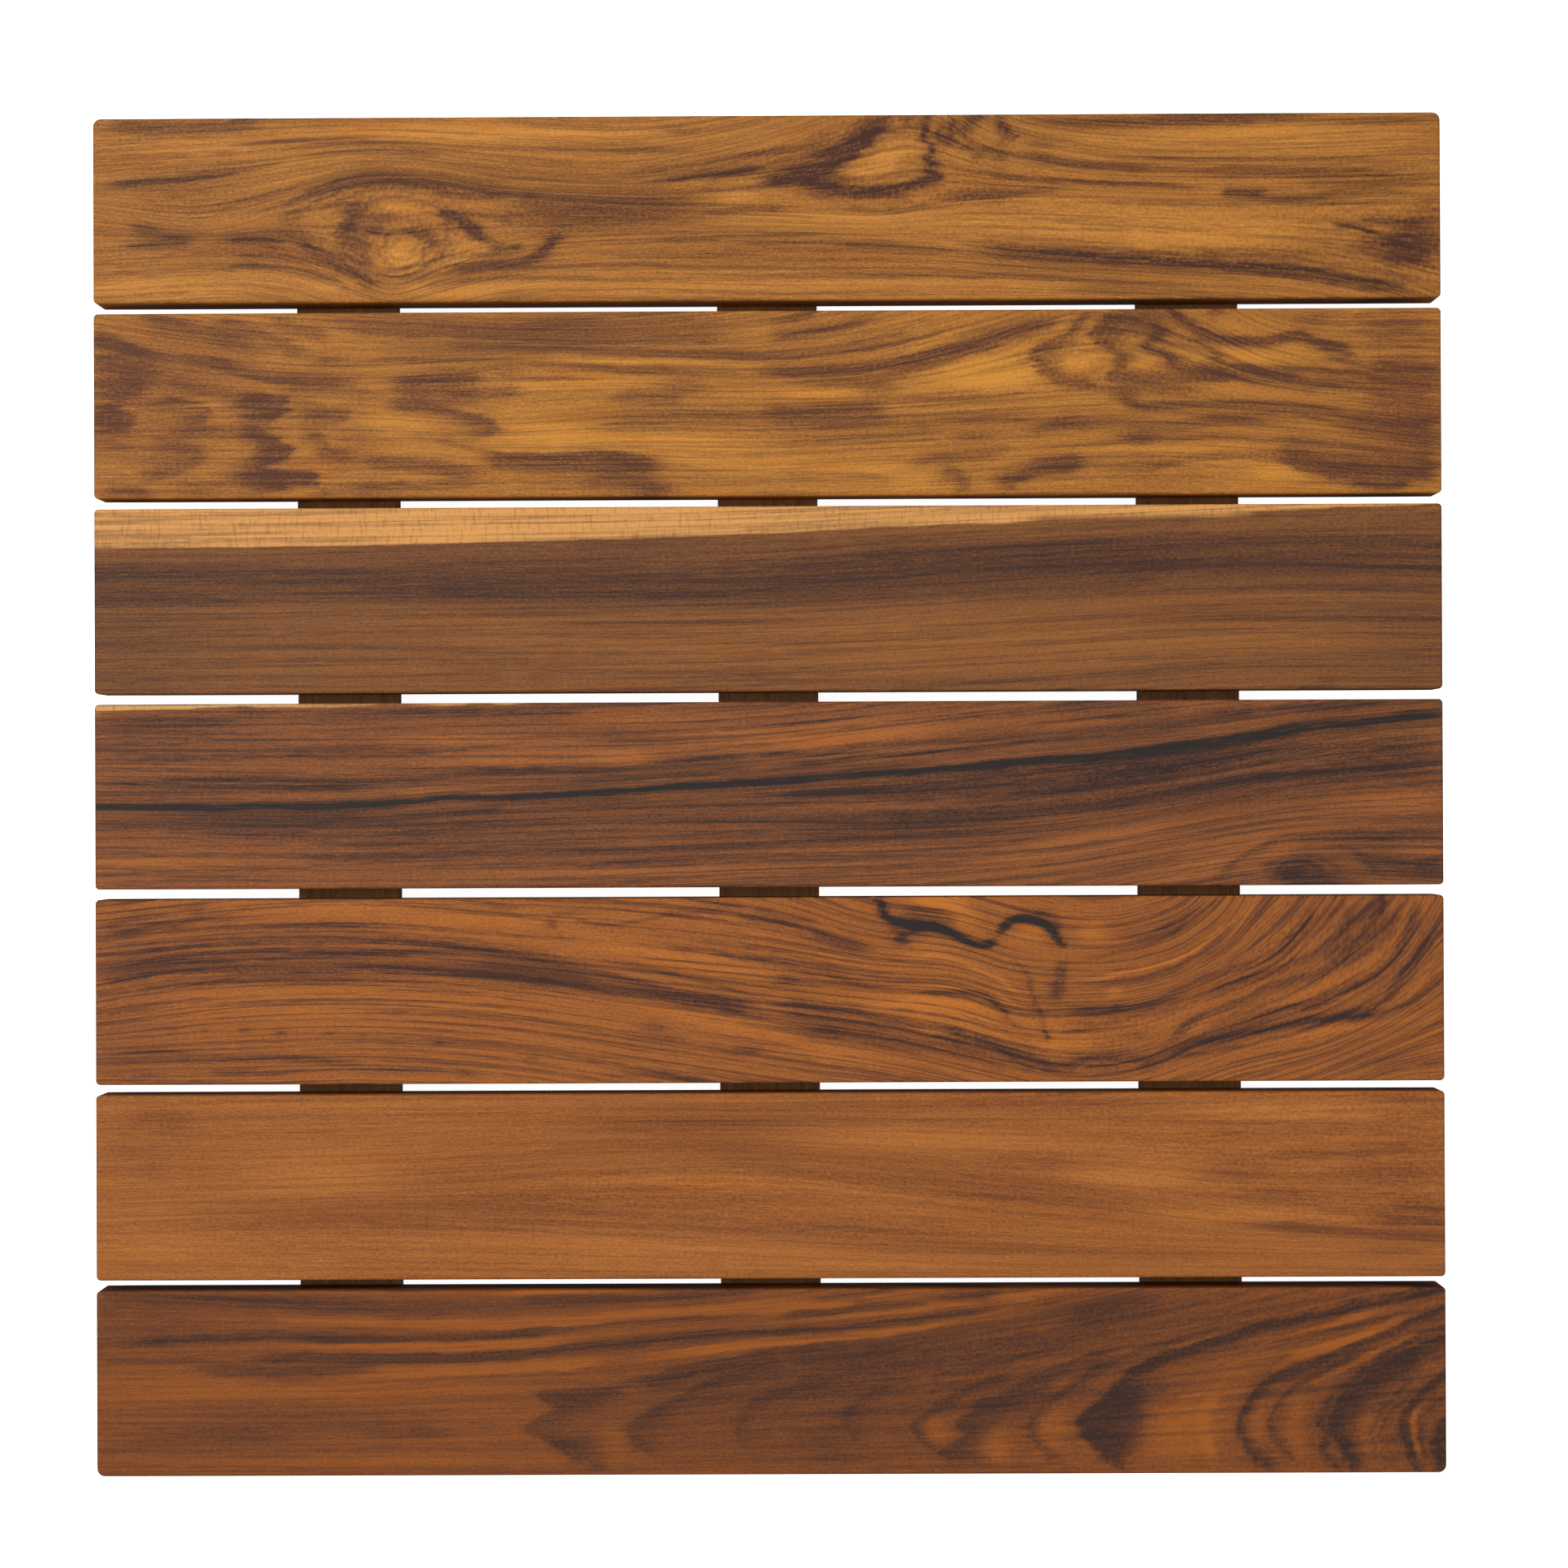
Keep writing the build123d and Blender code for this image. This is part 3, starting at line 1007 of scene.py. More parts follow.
FIGURE_2 = Figure(
    seed=22,
    rails=(
        Rail(-35, ((-254, -35), (-100, -36), (0, -35), (60, -34), (120, -33), (254, -36))),
        Rail(-20, ((-254, -20), (-100, -20), (-50, -20), (0, -21), (50, -19), (100, -17), (150, -15),
            (200, -18), (254, -22))),
        Rail(0, ((-254, -1), (-200, 1), (-150, -1), (-100, -4), (-50, -1), (0, -1), (50, 0), (100, 3),
            (130, 4), (160, 1), (200, -2), (254, -9))),
        Rail(14, ((-254, 22), (-200, 14), (-160, 12), (-100, 15), (-50, 13.5), (0, 11.5), (40, 14),
            (80, 23), (105, 31), (130, 34), (160, 24), (185, 13), (254, 6))),
        Rail(34, ((-254, 40), (-200, 33), (-150, 30), (-100, 28), (-50, 28), (0, 31), (40, 38), (80, 48),
            (150, 50), (190, 30), (254, 26))),
    ),
    dark=(
        line(0.75, 2, (-258, 28), (-245, 25), (-231, 20), right=3, left=1),
        line(0.6, 2, (-258, 19.5), (-240, 15), (-226, 11), right=3, left=1.5),
        Patch(0.6, -248, 8, 10, 4.5),
        line(0.6, 1, (-246, 12), (-238, 9), (-240, 5), (-250, 1), left=1, right=4),
        Patch(0.95, -250, -5, 7, 4.5),
        line(0.7, 1.5, (-250, 1), (-242, -3), (-240, -6), (-252, -10), right=4, left=0.8),
        Patch(0.4, -248, -14, 8, 2),
        line(0.55, 1.2, (-235, 4), (-220, 1.5), (-209, -2), (-214, -6), (-228, -9), left=0.8, right=4),
        line(0.5, 1.5, (-256, 22), (-225, 18.5), (-205, 17), (-194, 13), right=3),
        line(0.65, 1.6, (-222, 19), (-205, 14), (-190, 10.5), (-172, 9), (-150, 8.8), right=1, left=2.5),
        line(0.6, 2, (-240, 35), (-218, 30), (-200, 25), (-186, 18), left=1, right=4),
        line(0.55, 1.6, (-212, 34), (-195, 29), (-178, 22), (-170, 17), left=1, right=3.5),
        line(0.45, 1.6, (-190, 35), (-176, 30), (-160, 25), right=3),
        line(0.5, 1.5, (-232, 10), (-212, 5), (-196, 3), left=2.5),
        line(0.85, 2.5, (-205, 5), (-193, 3), (-182, 1), (-186, -3), (-199, -7), left=0.8, right=4,
            fade=0.3),
        Patch(0.6, -192, 0, 7, 3), Patch(0.65, -196, -5, 5, 2),
        line(0.5, 1.5, (-228, -11), (-212, -9), (-202, -10), (-196, -12), right=3),
        line(0.85, 2.5, (-206, -9), (-192, -10), (-182, -16), (-188, -21), (-202, -24), left=0.8, right=5,
            fade=0.3),
        Patch(0.75, -188, -15, 6, 5),
        line(0.85, 2.5, (-212, -22), (-198, -24), (-186, -26), (-171, -27), (-186, -31), (-204, -34),
            left=0.8, right=5, fade=0.3),
        Patch(0.7, -192, -28, 10, 4), line(0.55, 2, (-254, -30), (-240, -30.5), (-228, -33), right=3),
        line(0.5, 1.2, (-238, -11), (-222, -14), (-214, -19), (-222, -25), (-240, -28), left=1, right=5),
        Patch(0.4, -215, -31, 10, 3), Patch(0.45, -168, -5, 9, 3.5),
        line(0.45, 1, (-182, 2), (-170, 0), (-158, -3), (-166, -8), left=0.8, right=3.5),
        line(0.5, 1.5, (-178, -8), (-168, -12), (-164, -17), (-152, -18.5), left=0.8, right=4),
        Patch(0.5, -160, -18, 9, 2), Patch(0.3, -152, -11, 9, 5),
        line(0.65, 3, (-146, 6.5), (-130, 9.3), (-112, 9.5), (-104, 8), left=0.8, right=4),
        Patch(0.55, -130, 4, 15, 5), line(0.5, 2, (-112, 8), (-118, 4), (-90, 5), left=2, right=2),
        line(0.4, 3, (-190, 9), (-165, 6), (-142, 3), right=4),
        line(0.7, 1.4, (-145, -0.5), (-125, -1), (-112, -4), (-103.5, -7), (-108, -10.5), (-114, -13),
            left=0.8, right=2.5, fade=0.2),
        Patch(0.4, -110, -8, 5, 3), line(0.4, 1.2, (-130, -14), (-118, -15), (-108, -17), (-96, -19)),
        line(0.8, 1.8, (-112, -18), (-98, -19.3), (-75, -19.5), (-56, -19.2), (-46, -21), (-36, -23.5),
            left=0.7, right=5.5, fade=0.15),
        Patch(0.75, -49, -23, 10, 3.2),
        line(0.5, 2, (-72, -26), (-56, -27), (-48, -30), (-32, -32.5), left=1, right=5),
        Patch(0.45, -80, -24, 20, 2), Patch(0.5, -42, -33, 9, 2.5),
        line(0.6, 2, (-160, -20.5), (-142, -21), (-126, -22.5), (-112, -25.5), (-101, -26), left=1,
            right=3),
        Patch(0.4, -120, -25, 12, 2),
        line(0.5, 1, (-158, -31), (-138, -30), (-122, -29), (-108, -26.5), left=1, right=3),
        line(0.4, 1.5, (-178, -34), (-160, -33), (-140, -32)),
        line(0.5, 1.6, (-62, 3.2), (-45, 3), (-28, 1.5), left=1, right=2.5), Patch(0.4, -42, -6, 34, 4),
        Patch(0.35, -10, -5, 25, 2.5), Patch(0.45, -30, 6, 9, 3),
        line(0.6, 1.3, (-175, 31), (-158, 28.5), (-140, 26.8), (-115, 26.4), (-90, 25), (-60, 23.8),
            (-20, 24), (0, 24.3), left=4, right=0.8, fade=0.15),
        Patch(0.55, -76, 31.5, 14, 1.6), Patch(0.45, -40, 34, 20, 2.5), Patch(0.4, -80, 27.5, 30, 1.5),
        line(0.6, 1.2, (-182, 16), (-162, 15), (-140, 17), (-110, 16.5), (-80, 15.6), (-55, 13),
            (-30, 12.2), (5, 12), right=0.8),
        Patch(0.6, -166, 17, 7, 1.3), line(0.35, 1, (-140, 14), (-110, 13.5), (-85, 14.5)),
        line(0.35, 1, (-110, 11.5), (-85, 10), (-60, 9.5)),
        line(0.55, 1.2, (-165, 21), (-130, 19), (-80, 20), (-40, 18.2), (0, 17.2), (22, 18.6), (45, 22),
            (62, 26), (80, 31), (92, 36), left=2),
        line(0.35, 1.4, (-130, 22.5), (-90, 22), (-50, 21)),
        line(0.7, 1.6, (-10, 11.3), (25, 11.8), (45, 14), (65, 19), (85, 25), (102, 30), (112, 35),
            left=2.5, right=0.8, fade=0.15),
        line(0.6, 1.6, (-5, 23.5), (20, 27), (38, 31.5), (48, 35), left=2, right=1),
        line(0.5, 1.4, (-5, 30), (15, 33), (25, 36)),
        line(0.55, 1.6, (5, 7), (30, 7.2), (46, 9), (60, 14), (75, 19), (90, 24), (104, 29), (118, 35),
            left=2.5, right=1, fade=0.15),
        Patch(0.5, 76, 19.5, 8, 1.8), Patch(0.5, 43, 5.5, 7, 3),
        line(0.4, 1.2, (22, 20), (32, 22.5), (42, 25), (55, 27)),
        line(0.35, 1, (45, 1), (70, 1.5), (105, 4)),
        line(0.6, 1, (-5, -1.2), (12, -2), (30, -1.6), (48, 0), left=0.6, right=6, fade=0.15),
        Patch(0.4, 30, -6, 30, 3), Patch(0.3, 35, -14, 28, 2), Patch(0.4, 80, -5, 20, 1.8),
        line(0.65, 1.4, (121, 36), (117, 29), (112, 23.5), (103, 20), (100, 15), (106, 11), (112, 7),
            (127, 5), left=3, right=0.8, fade=0.1),
        Patch(0.45, 108, 21, 6, 2), Patch(0.4, 107, 11, 5, 2),
        line(0.5, 1.2, (112, 7), (130, 5.5), (150, 5), (172, 4.5), right=2),
        line(0.7, 1.8, (126, 36), (131, 30), (124, 25), (128, 20), (131, 15), (130, 11), (138, 8),
            (156, 8), (178, 9.5), left=4, right=0.8, fade=0.08),
        Patch(0.6, 130, 26, 6, 4), Patch(0.4, 136, 30, 6, 3),
        line(0.65, 1.8, (138, 36), (146, 28), (143.5, 22), (150, 17), (154, 11.5), (163, 9), (180, 8.5),
            (204, 7.5), left=3.5, right=0.8, fade=0.08),
        Patch(0.5, 146, 25, 4, 3), Patch(0.3, 141, 27, 6, 5),
        line(0.9, 1.6, (150, 38), (156, 30), (164, 25.5), (173, 23.3), (188, 23), (200, 25), (211, 20.5),
            (223, 18), left=0.8, right=2, fade=0.08),
        line(0.55, 1, (163, 24), (168, 18), (176, 13), (196, 12), (222, 10.5), (238, 7), (258, 5),
            left=0.7, right=2, fade=0.1),
        line(0.7, 1.4, (225, 17), (230, 14), (240, 12.8), (258, 12), left=0.8, right=2.5),
        line(0.4, 1, (204, 18), (225, 13), (235, 10)), Patch(0.65, 169, 33.5, 6, 1.6),
        Patch(0.5, 205, 31, 10, 2), Patch(0.4, 235, 29, 14, 5),
        line(0.5, 2, (128, 35), (145, 31), (166, 30), left=2), Patch(0.75, 133.5, 2.6, 4.5, 1.8),
        line(0.75, 1.5, (128, 3), (138, -0.7), (150, -1.2), (168, -0.8), (186, -1), (205, -2.8),
            (222, -6), (238, -8.3), (258, -8.5), left=0.8, right=1.5, fade=0.08),
        line(0.45, 1.6, (196, 5.5), (218, 5), (236, 0.5), (258, -0.5), left=2),
        Patch(0.5, 202, 6, 11, 2.2),
        line(0.5, 1.6, (84, -12), (100, -11), (115, -8), (130, -8.5), (155, -9.5), (175, -7), (204, -8.5),
            left=1.5, right=1.5),
        Patch(0.65, 112, -8.8, 11, 1.8), Patch(0.35, 85, -7, 18, 1.6), Patch(0.5, 178, -7, 13, 1.6),
        Patch(0.65, 139, -13.5, 8, 1.8),
        line(0.45, 1.2, (105, -18.5), (132, -15.2), (168, -14), (205, -16), (232, -19), (258, -23)),
        line(0.45, 1.2, (170, -4), (200, -5), (225, -11), (258, -16)), Patch(0.3, 240, -12, 14, 6),
        line(0.7, 1.6, (84, -35), (93, -31), (102, -27), (112, -25.5), (124, -25.5), left=4, right=0.8),
        Patch(0.65, 112, -22.5, 12, 2.6),
        line(0.5, 1.2, (124, -27), (145, -25), (165, -21.5), (190, -20.5), (215, -21), left=2),
        Patch(0.35, 140, -22, 14, 2),
        line(0.85, 2, (188, -20.5), (199, -24), (210, -27), (222, -30.5), (236, -31.5), (258, -26),
            left=7, right=0.8, fade=0.12),
        Patch(0.55, 228, -24, 20, 3), Patch(0.45, 205, -21.5, 10, 1.5), Patch(0.5, 215, -26, 9, 2),
        line(0.5, 1.4, (96, -18), (75, -20), (60, -22), (51, -26), left=2, right=2),
        line(0.5, 1.4, (62, -24), (70, -26), (77, -31), (70, -35), left=1, right=2.5),
        Patch(0.5, 78, -13, 9, 2), Patch(0.3, 60, -10, 10, 2),
        line(0.35, 1, (-5, -26.5), (30, -26.5), (50, -29)), Patch(0.4, 250, -14, 6, 10),
        Patch(0.35, 150, -30, 20, 2),
    ),
    shade=(
        Patch(0.3, -235, 5, 32, 28), Patch(-0.5, -80, -12, 24, 6), Patch(-0.45, -30, -17, 30, 5),
        Patch(-0.5, 85, 11, 22, 7), Patch(-0.35, 25, -24, 40, 4), Patch(-0.4, 182, 17, 22, 4),
        Patch(0.3, 240, 2, 20, 26), Patch(-0.3, -75, 8, 28, 3), Patch(-0.35, -140, -8, 16, 5),
        Patch(-0.35, -215, 0, 10, 3), Patch(-0.4, -128, -28, 14, 1.5), Patch(-0.4, 116, 15, 8, 4),
        Patch(-0.35, 140, 15, 5, 3), Patch(0.25, -100, 31, 90, 4), Patch(-0.3, -165, 2, 14, 2),
        Patch(-0.3, 20, 4, 14, 2.5), Patch(-0.4, 195, -27, 14, 2.5), Patch(-0.3, 55, -30, 8, 3),
        Patch(-0.3, -70, 16, 60, 1), Patch(-0.3, 60, 22, 20, 2, 25), Patch(-0.25, 160, -18, 40, 2),
        Patch(-0.3, -170, -30, 12, 2),
    ),
    feather=4,
    wander=0.8,
)

FIGURE_3 = Figure(
    seed=33,
    rails=(
        Rail(-36, ((-254, -36), (-100, -36), (0, -35), (100, -31), (180, -26), (254, -26))),
        Rail(-18, ((-254, -19), (-100, -18), (0, -16.5), (100, -12), (180, -9), (254, -9))),
        Rail(2, ((-254, 0), (-100, 1), (0, 2), (50, 4), (100, 7), (150, 9.5), (200, 10.5), (254, 9))),
        Rail(21, ((-254, 20), (-150, 21), (-100, 22), (-50, 23), (0, 24.5), (50, 27), (100, 29),
            (150, 31), (210, 33.5), (254, 35))),
        Rail(36, ((-254, 36), (0, 38), (254, 46))),
    ),
    dark=(
        line(0.5, 10, (-300, 5.5), (-200, 5.5), (-150, 4.5), (-100, 4), (-50, 4), (0, 4), (50, 5),
            (100, 7), (160, 10), fade=0.05, left=2.5, right=1.2),
        line(0.4, 3.5, (-180, 2.5), (-140, 2), (-100, 2.5), (-60, 3), (-10, 3), (40, 4.5), (100, 7)),
        line(0.55, 1.4, (-300, -1), (-215, -0.5), (-190, -1), fade=0.2),
        line(0.45, 2, (-300, 11.5), (-200, 12), (-140, 12)),
        line(0.5, 3.4, (20, 16), (70, 18.5), (120, 20.3), (170, 21), (220, 21.5), (300, 18), fade=0.08),
        line(0.35, 7, (-10, 11), (60, 14), (130, 16), (300, 15), fade=0.1, left=2, right=2),
        line(0.4, 2, (110, 9.5), (160, 11), (200, 11), (300, 9), fade=0.15),
        line(0.35, 1.4, (-100, -10), (-50, -9), (0, -9), (30, -8)),
        line(0.3, 2, (-20, -18), (40, -15), (120, -11), (190, -8), (300, -10), fade=0.1),
        line(0.25, 3, (100, -31), (150, -27), (200, -25), (300, -25)),
        line(0.25, 2.4, (-130, -6), (-60, -4), (0, -2), (60, 1)),
        line(0.25, 1.4, (0, -32), (100, -31), (180, -28)), line(0.3, 1.6, (130, 3), (190, 3.5), (254, 2)),
        Patch(0.35, 207, -33, 6, 3), line(0.25, 1.4, (-300, -17), (-180, -17), (-90, -18)),
        Patch(0.25, -60, 14, 20, 2.4), Patch(0.3, 158, 29, 8, 1),
        line(0.2, 1.2, (-140, -26), (-60, -24), (0, -24)),
    ),
    shade=(
        Patch(0.22, -20, 12, 300, 9), Patch(0.14, 190, 15, 90, 10), Patch(-0.3, 60, -16, 180, 12),
        Patch(0.15, 245, -15, 20, 20), Patch(0.15, -240, -15, 30, 20), Patch(-0.1, -200, 16, 40, 4),
    ),
    sapwood=Rail(0, ((-254, 20), (-150, 21), (-100, 22), (-50, 23), (0, 24.5), (50, 27), (100, 28.8),
        (150, 31), (180, 32), (210, 33.3), (254, 34.6))),
    feather=6,
    wander=0.4,
)

FIGURE_4 = Figure(
    seed=44,
    rails=(
        Rail(-34, ((-254, -34), (-150, -33), (-50, -32), (0, -30), (60, -28), (110, -24), (150, -18),
            (200, -11), (254, -9))),
        Rail(-14, ((-254, -11), (-150, -13), (-100, -11), (0, -9), (50, -9), (100, -7), (150, -1),
            (200, 7), (254, 12))),
        Rail(0, ((-254, -3), (-200, -3.5), (-150, -3), (-120, -0.5), (-80, 1), (-40, 3), (0, 5.5),
            (50, 9), (100, 13.5), (140, 17), (170, 20), (200, 25), (254, 29.5))),
        Rail(14, ((-254, 12), (-150, 11), (-100, 11), (-50, 11.5), (0, 14), (50, 19), (100, 24),
            (150, 28), (200, 33), (254, 40))),
        Rail(34, ((-254, 33), (-100, 34), (0, 37), (50, 42), (254, 62))),
    ),
    dark=(
        line(0.97, 1.7, (-300, -3), (-240, -3.9), (-200, -4.1), (-150, -3.3), (-132, -2), (-118, -0.8),
            (-95, -0.4), (-70, 1), (-40, 2.6), (-20, 3.8), (0, 4.9), (24, 6.4), left=0.4, right=0.7,
            fade=0.04),
        line(0.9, 1.8, (-232, -4), (-216, -4), (-202, -4.2), fade=0.35),
        line(0.95, 1.9, (-190, -4.4), (-165, -4), (-146, -3.4), (-130, -2.2), fade=0.3),
        line(0.9, 1.6, (-110, -0.8), (-94, -0.4), (-70, 0.6), (-46, 2)),
        line(0.97, 2.1, (-52, 2), (0, 5), (40, 7.6), (75, 9.8), (96, 11.8), (112, 12.8), left=0.4,
            right=0.6, fade=0.12),
        line(0.97, 3, (66, 9.6), (86, 11), (100, 12.3), (118, 13.2), (136, 14.8), (150, 16.8),
            (166, 18.6), (182, 20.6), (196, 23.4), (212, 25), left=0.4, right=0.9, fade=0.12),
        line(0.97, 1.8, (170, 19.4), (190, 22.6), (206, 24.8), (222, 26), (238, 27.8), (258, 29.8),
            left=0.4, right=0.7, fade=0.08),
        line(0.85, 2, (124, 13.4), (142, 15), (160, 17.4), (178, 19.4), fade=0.4),
        line(0.5, 2, (100, 9.8), (130, 12), (160, 15.6), (190, 19.6), left=1.6, right=2),
        line(0.4, 0.8, (186, 25), (206, 27.4), (226, 28.4)),
        line(0.55, 1.4, (-258, 29.4), (-236, 28.4), (-214, 28.2), (-196, 31), (-160, 30), (-120, 31.4),
            (-84, 31.6), (-62, 33.4), left=0.5, right=1.4, fade=0.1),
        line(0.45, 1.2, (-256, 30.6), (-230, 29.6), (-208, 30)),
        line(0.5, 0.7, (-246, 14.8), (-220, 14.4), (-198, 14.2), (-178, 14.7), (-158, 14.4), (-140, 15.4),
            (-122, 16.8), (-106, 18.8), (-84, 20.2), fade=0.12),
        line(0.6, 0.8, (-258, 5.6), (-236, 5.3), (-216, 6.4), (-196, 6.6), (-174, 6.6), (-154, 6),
            (-134, 7), (-118, 8.2), (-96, 9), (-64, 9.6), (-40, 12), (-16, 14), (4, 15), right=1,
            fade=0.08),
        line(0.55, 0.8, (-244, 2.9), (-222, 3.4), (-204, 3.7), (-184, 3.4), (-162, 3.8), (-140, 4.2),
            right=1),
        line(0.5, 0.7, (-122, 11), (-100, 9.6), (-80, 9), (-62, 8), (-44, 8.6), (-24, 9.6), (0, 11),
            fade=0.15),
        line(0.45, 0.7, (-88, 4.6), (-62, 5.2), (-40, 7.2), (-12, 8.4)),
        line(0.6, 1.1, (-258, -10), (-226, -9.6), (-200, -9.7), (-180, -10.2), (-160, -9.7), (-145, -9.3),
            (-130, -7.5), (-112, -5.8), (-92, -4.8), left=0.6, right=1.2, fade=0.08),
        line(0.4, 0.8, (-250, -7.6), (-210, -6.8), (-165, -7), (-138, -5.4)),
        line(0.4, 0.8, (-220, -13), (-192, -14), (-166, -12.8)),
        line(0.3, 3, (-230, -7), (-180, -8), (-140, -6), left=2, right=2),
        line(0.45, 0.8, (-152, -15), (-134, -13.5), (-112, -12.6), (-90, -11), (-62, -9.6), (-30, -9.5),
            (0, -10), (30, -9), (52, -8.2), fade=0.1),
        line(0.45, 0.8, (-82, -6), (-60, -5.2), (-30, -4.4), (0, -3.8), (24, -3)),
        line(0.4, 0.8, (-120, -3.6), (-94, -2.8), (-66, -1.6), (-36, -0.6)),
        line(0.4, 0.8, (-205, -17.6), (-175, -17), (-150, -18), (-120, -17)),
        line(0.5, 0.8, (-192, -21.4), (-165, -23), (-140, -22.4), (-120, -22), (-98, -22.4), (-70, -22),
            (-42, -21), (-20, -19.4), (0, -18.8), (20, -17.8), (50, -16.2), (80, -14.8), (110, -13),
            (132, -11), (152, -7), (172, -3), (196, 0.6), left=0.6, right=1.2, fade=0.06),
        line(0.4, 0.7, (-74, -27.4), (-52, -24.8), (-30, -23.4), (0, -22.6)),
        line(0.4, 0.8, (-10, 25.6), (15, 27), (30, 28.6), (48, 30), (72, 31.8)),
        line(0.7, 0.9, (-8, 14.2), (20, 15.4), (34, 17.4), (48, 18.8), (60, 19.3), (80, 20.4),
            (100, 22.4), (120, 24), (140, 25.2), (156, 26.5), (170, 28.2), (186, 30), (210, 32),
            (238, 34), left=1, fade=0.05),
        line(0.6, 0.8, (0, 10.8), (20, 11.8), (34, 14), (60, 15.2), (80, 17), (100, 19.7), (124, 20.6),
            (145, 22), (168, 24.8), left=1, fade=0.1),
        line(0.4, 2.6, (100, 31.6), (130, 31.4), (160, 32.6), left=2, right=2),
        line(0.4, 0.8, (140, 29.8), (165, 31), (190, 33.4)),
        line(0.55, 0.9, (-10, 0.6), (20, 1.2), (40, 2), (62, 3.1), (86, 4.7), (110, 6), (130, 7.8),
            (150, 10.2), (170, 13), (200, 16.8), (226, 19), (258, 22), right=1.6, fade=0.08),
        line(0.5, 0.9, (0, -0.8), (30, 0.1), (60, 0.7), (90, 2.2), (120, 3.7), (140, 5.2), (160, 8),
            (186, 11.2), (220, 14.4), (258, 18), right=1.4, fade=0.08),
        line(0.4, 0.8, (50, 5.6), (74, 7), (96, 8.6), (120, 9.4), (142, 11.4), (164, 14.6)),
        line(0.4, 0.8, (20, -2), (60, -1), (90, -0.2), (118, 1.4), (140, 3)),
        line(0.75, 1.3, (30, -8.8), (54, -8.2), (80, -7.2), (100, -6), (120, -4.8), (135, -3), (150, 0),
            (165, 3), (180, 5.4), (200, 7.2), (220, 9), (240, 11), (260, 13), left=0.6, right=2,
            fade=0.1),
        line(0.45, 1, (140, -3.6), (160, 0.4), (180, 3.8), (210, 6.6), (250, 9.6)),
        line(0.4, 0.9, (30, -12.6), (60, -11.4), (90, -9.8), (114, -8.6)),
        line(0.3, 5, (0, -13), (50, -11), (100, -9), left=2, right=2),
        line(0.4, 0.8, (196, 4.6), (226, 6), (256, 8)), Patch(0.35, 232, 14, 22, 4, 5),
        Patch(0.3, 245, 10.6, 14, 2, 5),
        line(0.55, 1, (164, -35), (172, -29.4), (180, -23.4), (189, -18.6), (198, -16.6), (212, -16),
            (226, -16.6), (240, -16), (258, -15.4), left=0.6, right=1.6, fade=0.12),
        Patch(0.85, 197.6, -30.6, 7, 4.4), Patch(0.7, 205, -33, 7, 3),
        line(0.6, 0.8, (189, -36), (190.6, -29.6), (195, -26.4), (201, -26.2), (207, -28.6), (213, -34)),
        Patch(0.6, 214, -33.6, 9, 1.8),
        line(0.4, 0.8, (184, -35), (188, -28), (194, -24.4), (203, -24), (211, -27), (219, -33)),
        line(0.5, 2, (218, -23), (230, -26.6), (244, -27), (260, -26), left=1, right=1.6),
        line(0.45, 1.2, (214, -20.6), (222, -24), (229, -29), (233, -34)), Patch(0.3, 247, -30, 9, 3),
    ),
    shade=(
        Patch(0.22, 130, 2, 160, 9), Patch(0.2, -80, -12, 150, 10), Patch(-0.5, 30, 22, 36, 7, 4),
        Patch(-0.45, -55, 14, 14, 3), Patch(-0.35, 180, -22, 35, 7, 15), Patch(-0.3, 236, -2, 22, 5),
        Patch(-0.25, -240, -25, 30, 8), Patch(-0.3, 120, -18, 40, 4, 10), Patch(-0.3, 70, 12, 30, 1.4, 6),
        Patch(0.15, -230, 20, 40, 6), Patch(-0.3, 115, 26, 18, 2.5, 8), Patch(-0.3, -20, 22, 26, 4),
        Patch(-0.3, -110, 22, 30, 3), Patch(-0.3, -100, 12.4, 30, 2), Patch(-0.3, 246, -22, 10, 2.6),
        Patch(0.3, 170, 14, 60, 4, 12), Patch(-0.25, -60, -29, 60, 2.6), Patch(-0.2, -180, -18, 20, 2),
        Patch(-0.3, -130, 2.4, 30, 1.6), Patch(-0.25, 40, -4.6, 40, 1.4),
    ),
    sapwood=Rail(0, ((-254, 32), (-225, 33.2), (-190, 33.8), (-120, 34.3), (0, 36), (254, 44))),
    feather=1.6,
    wander=0.6,
)

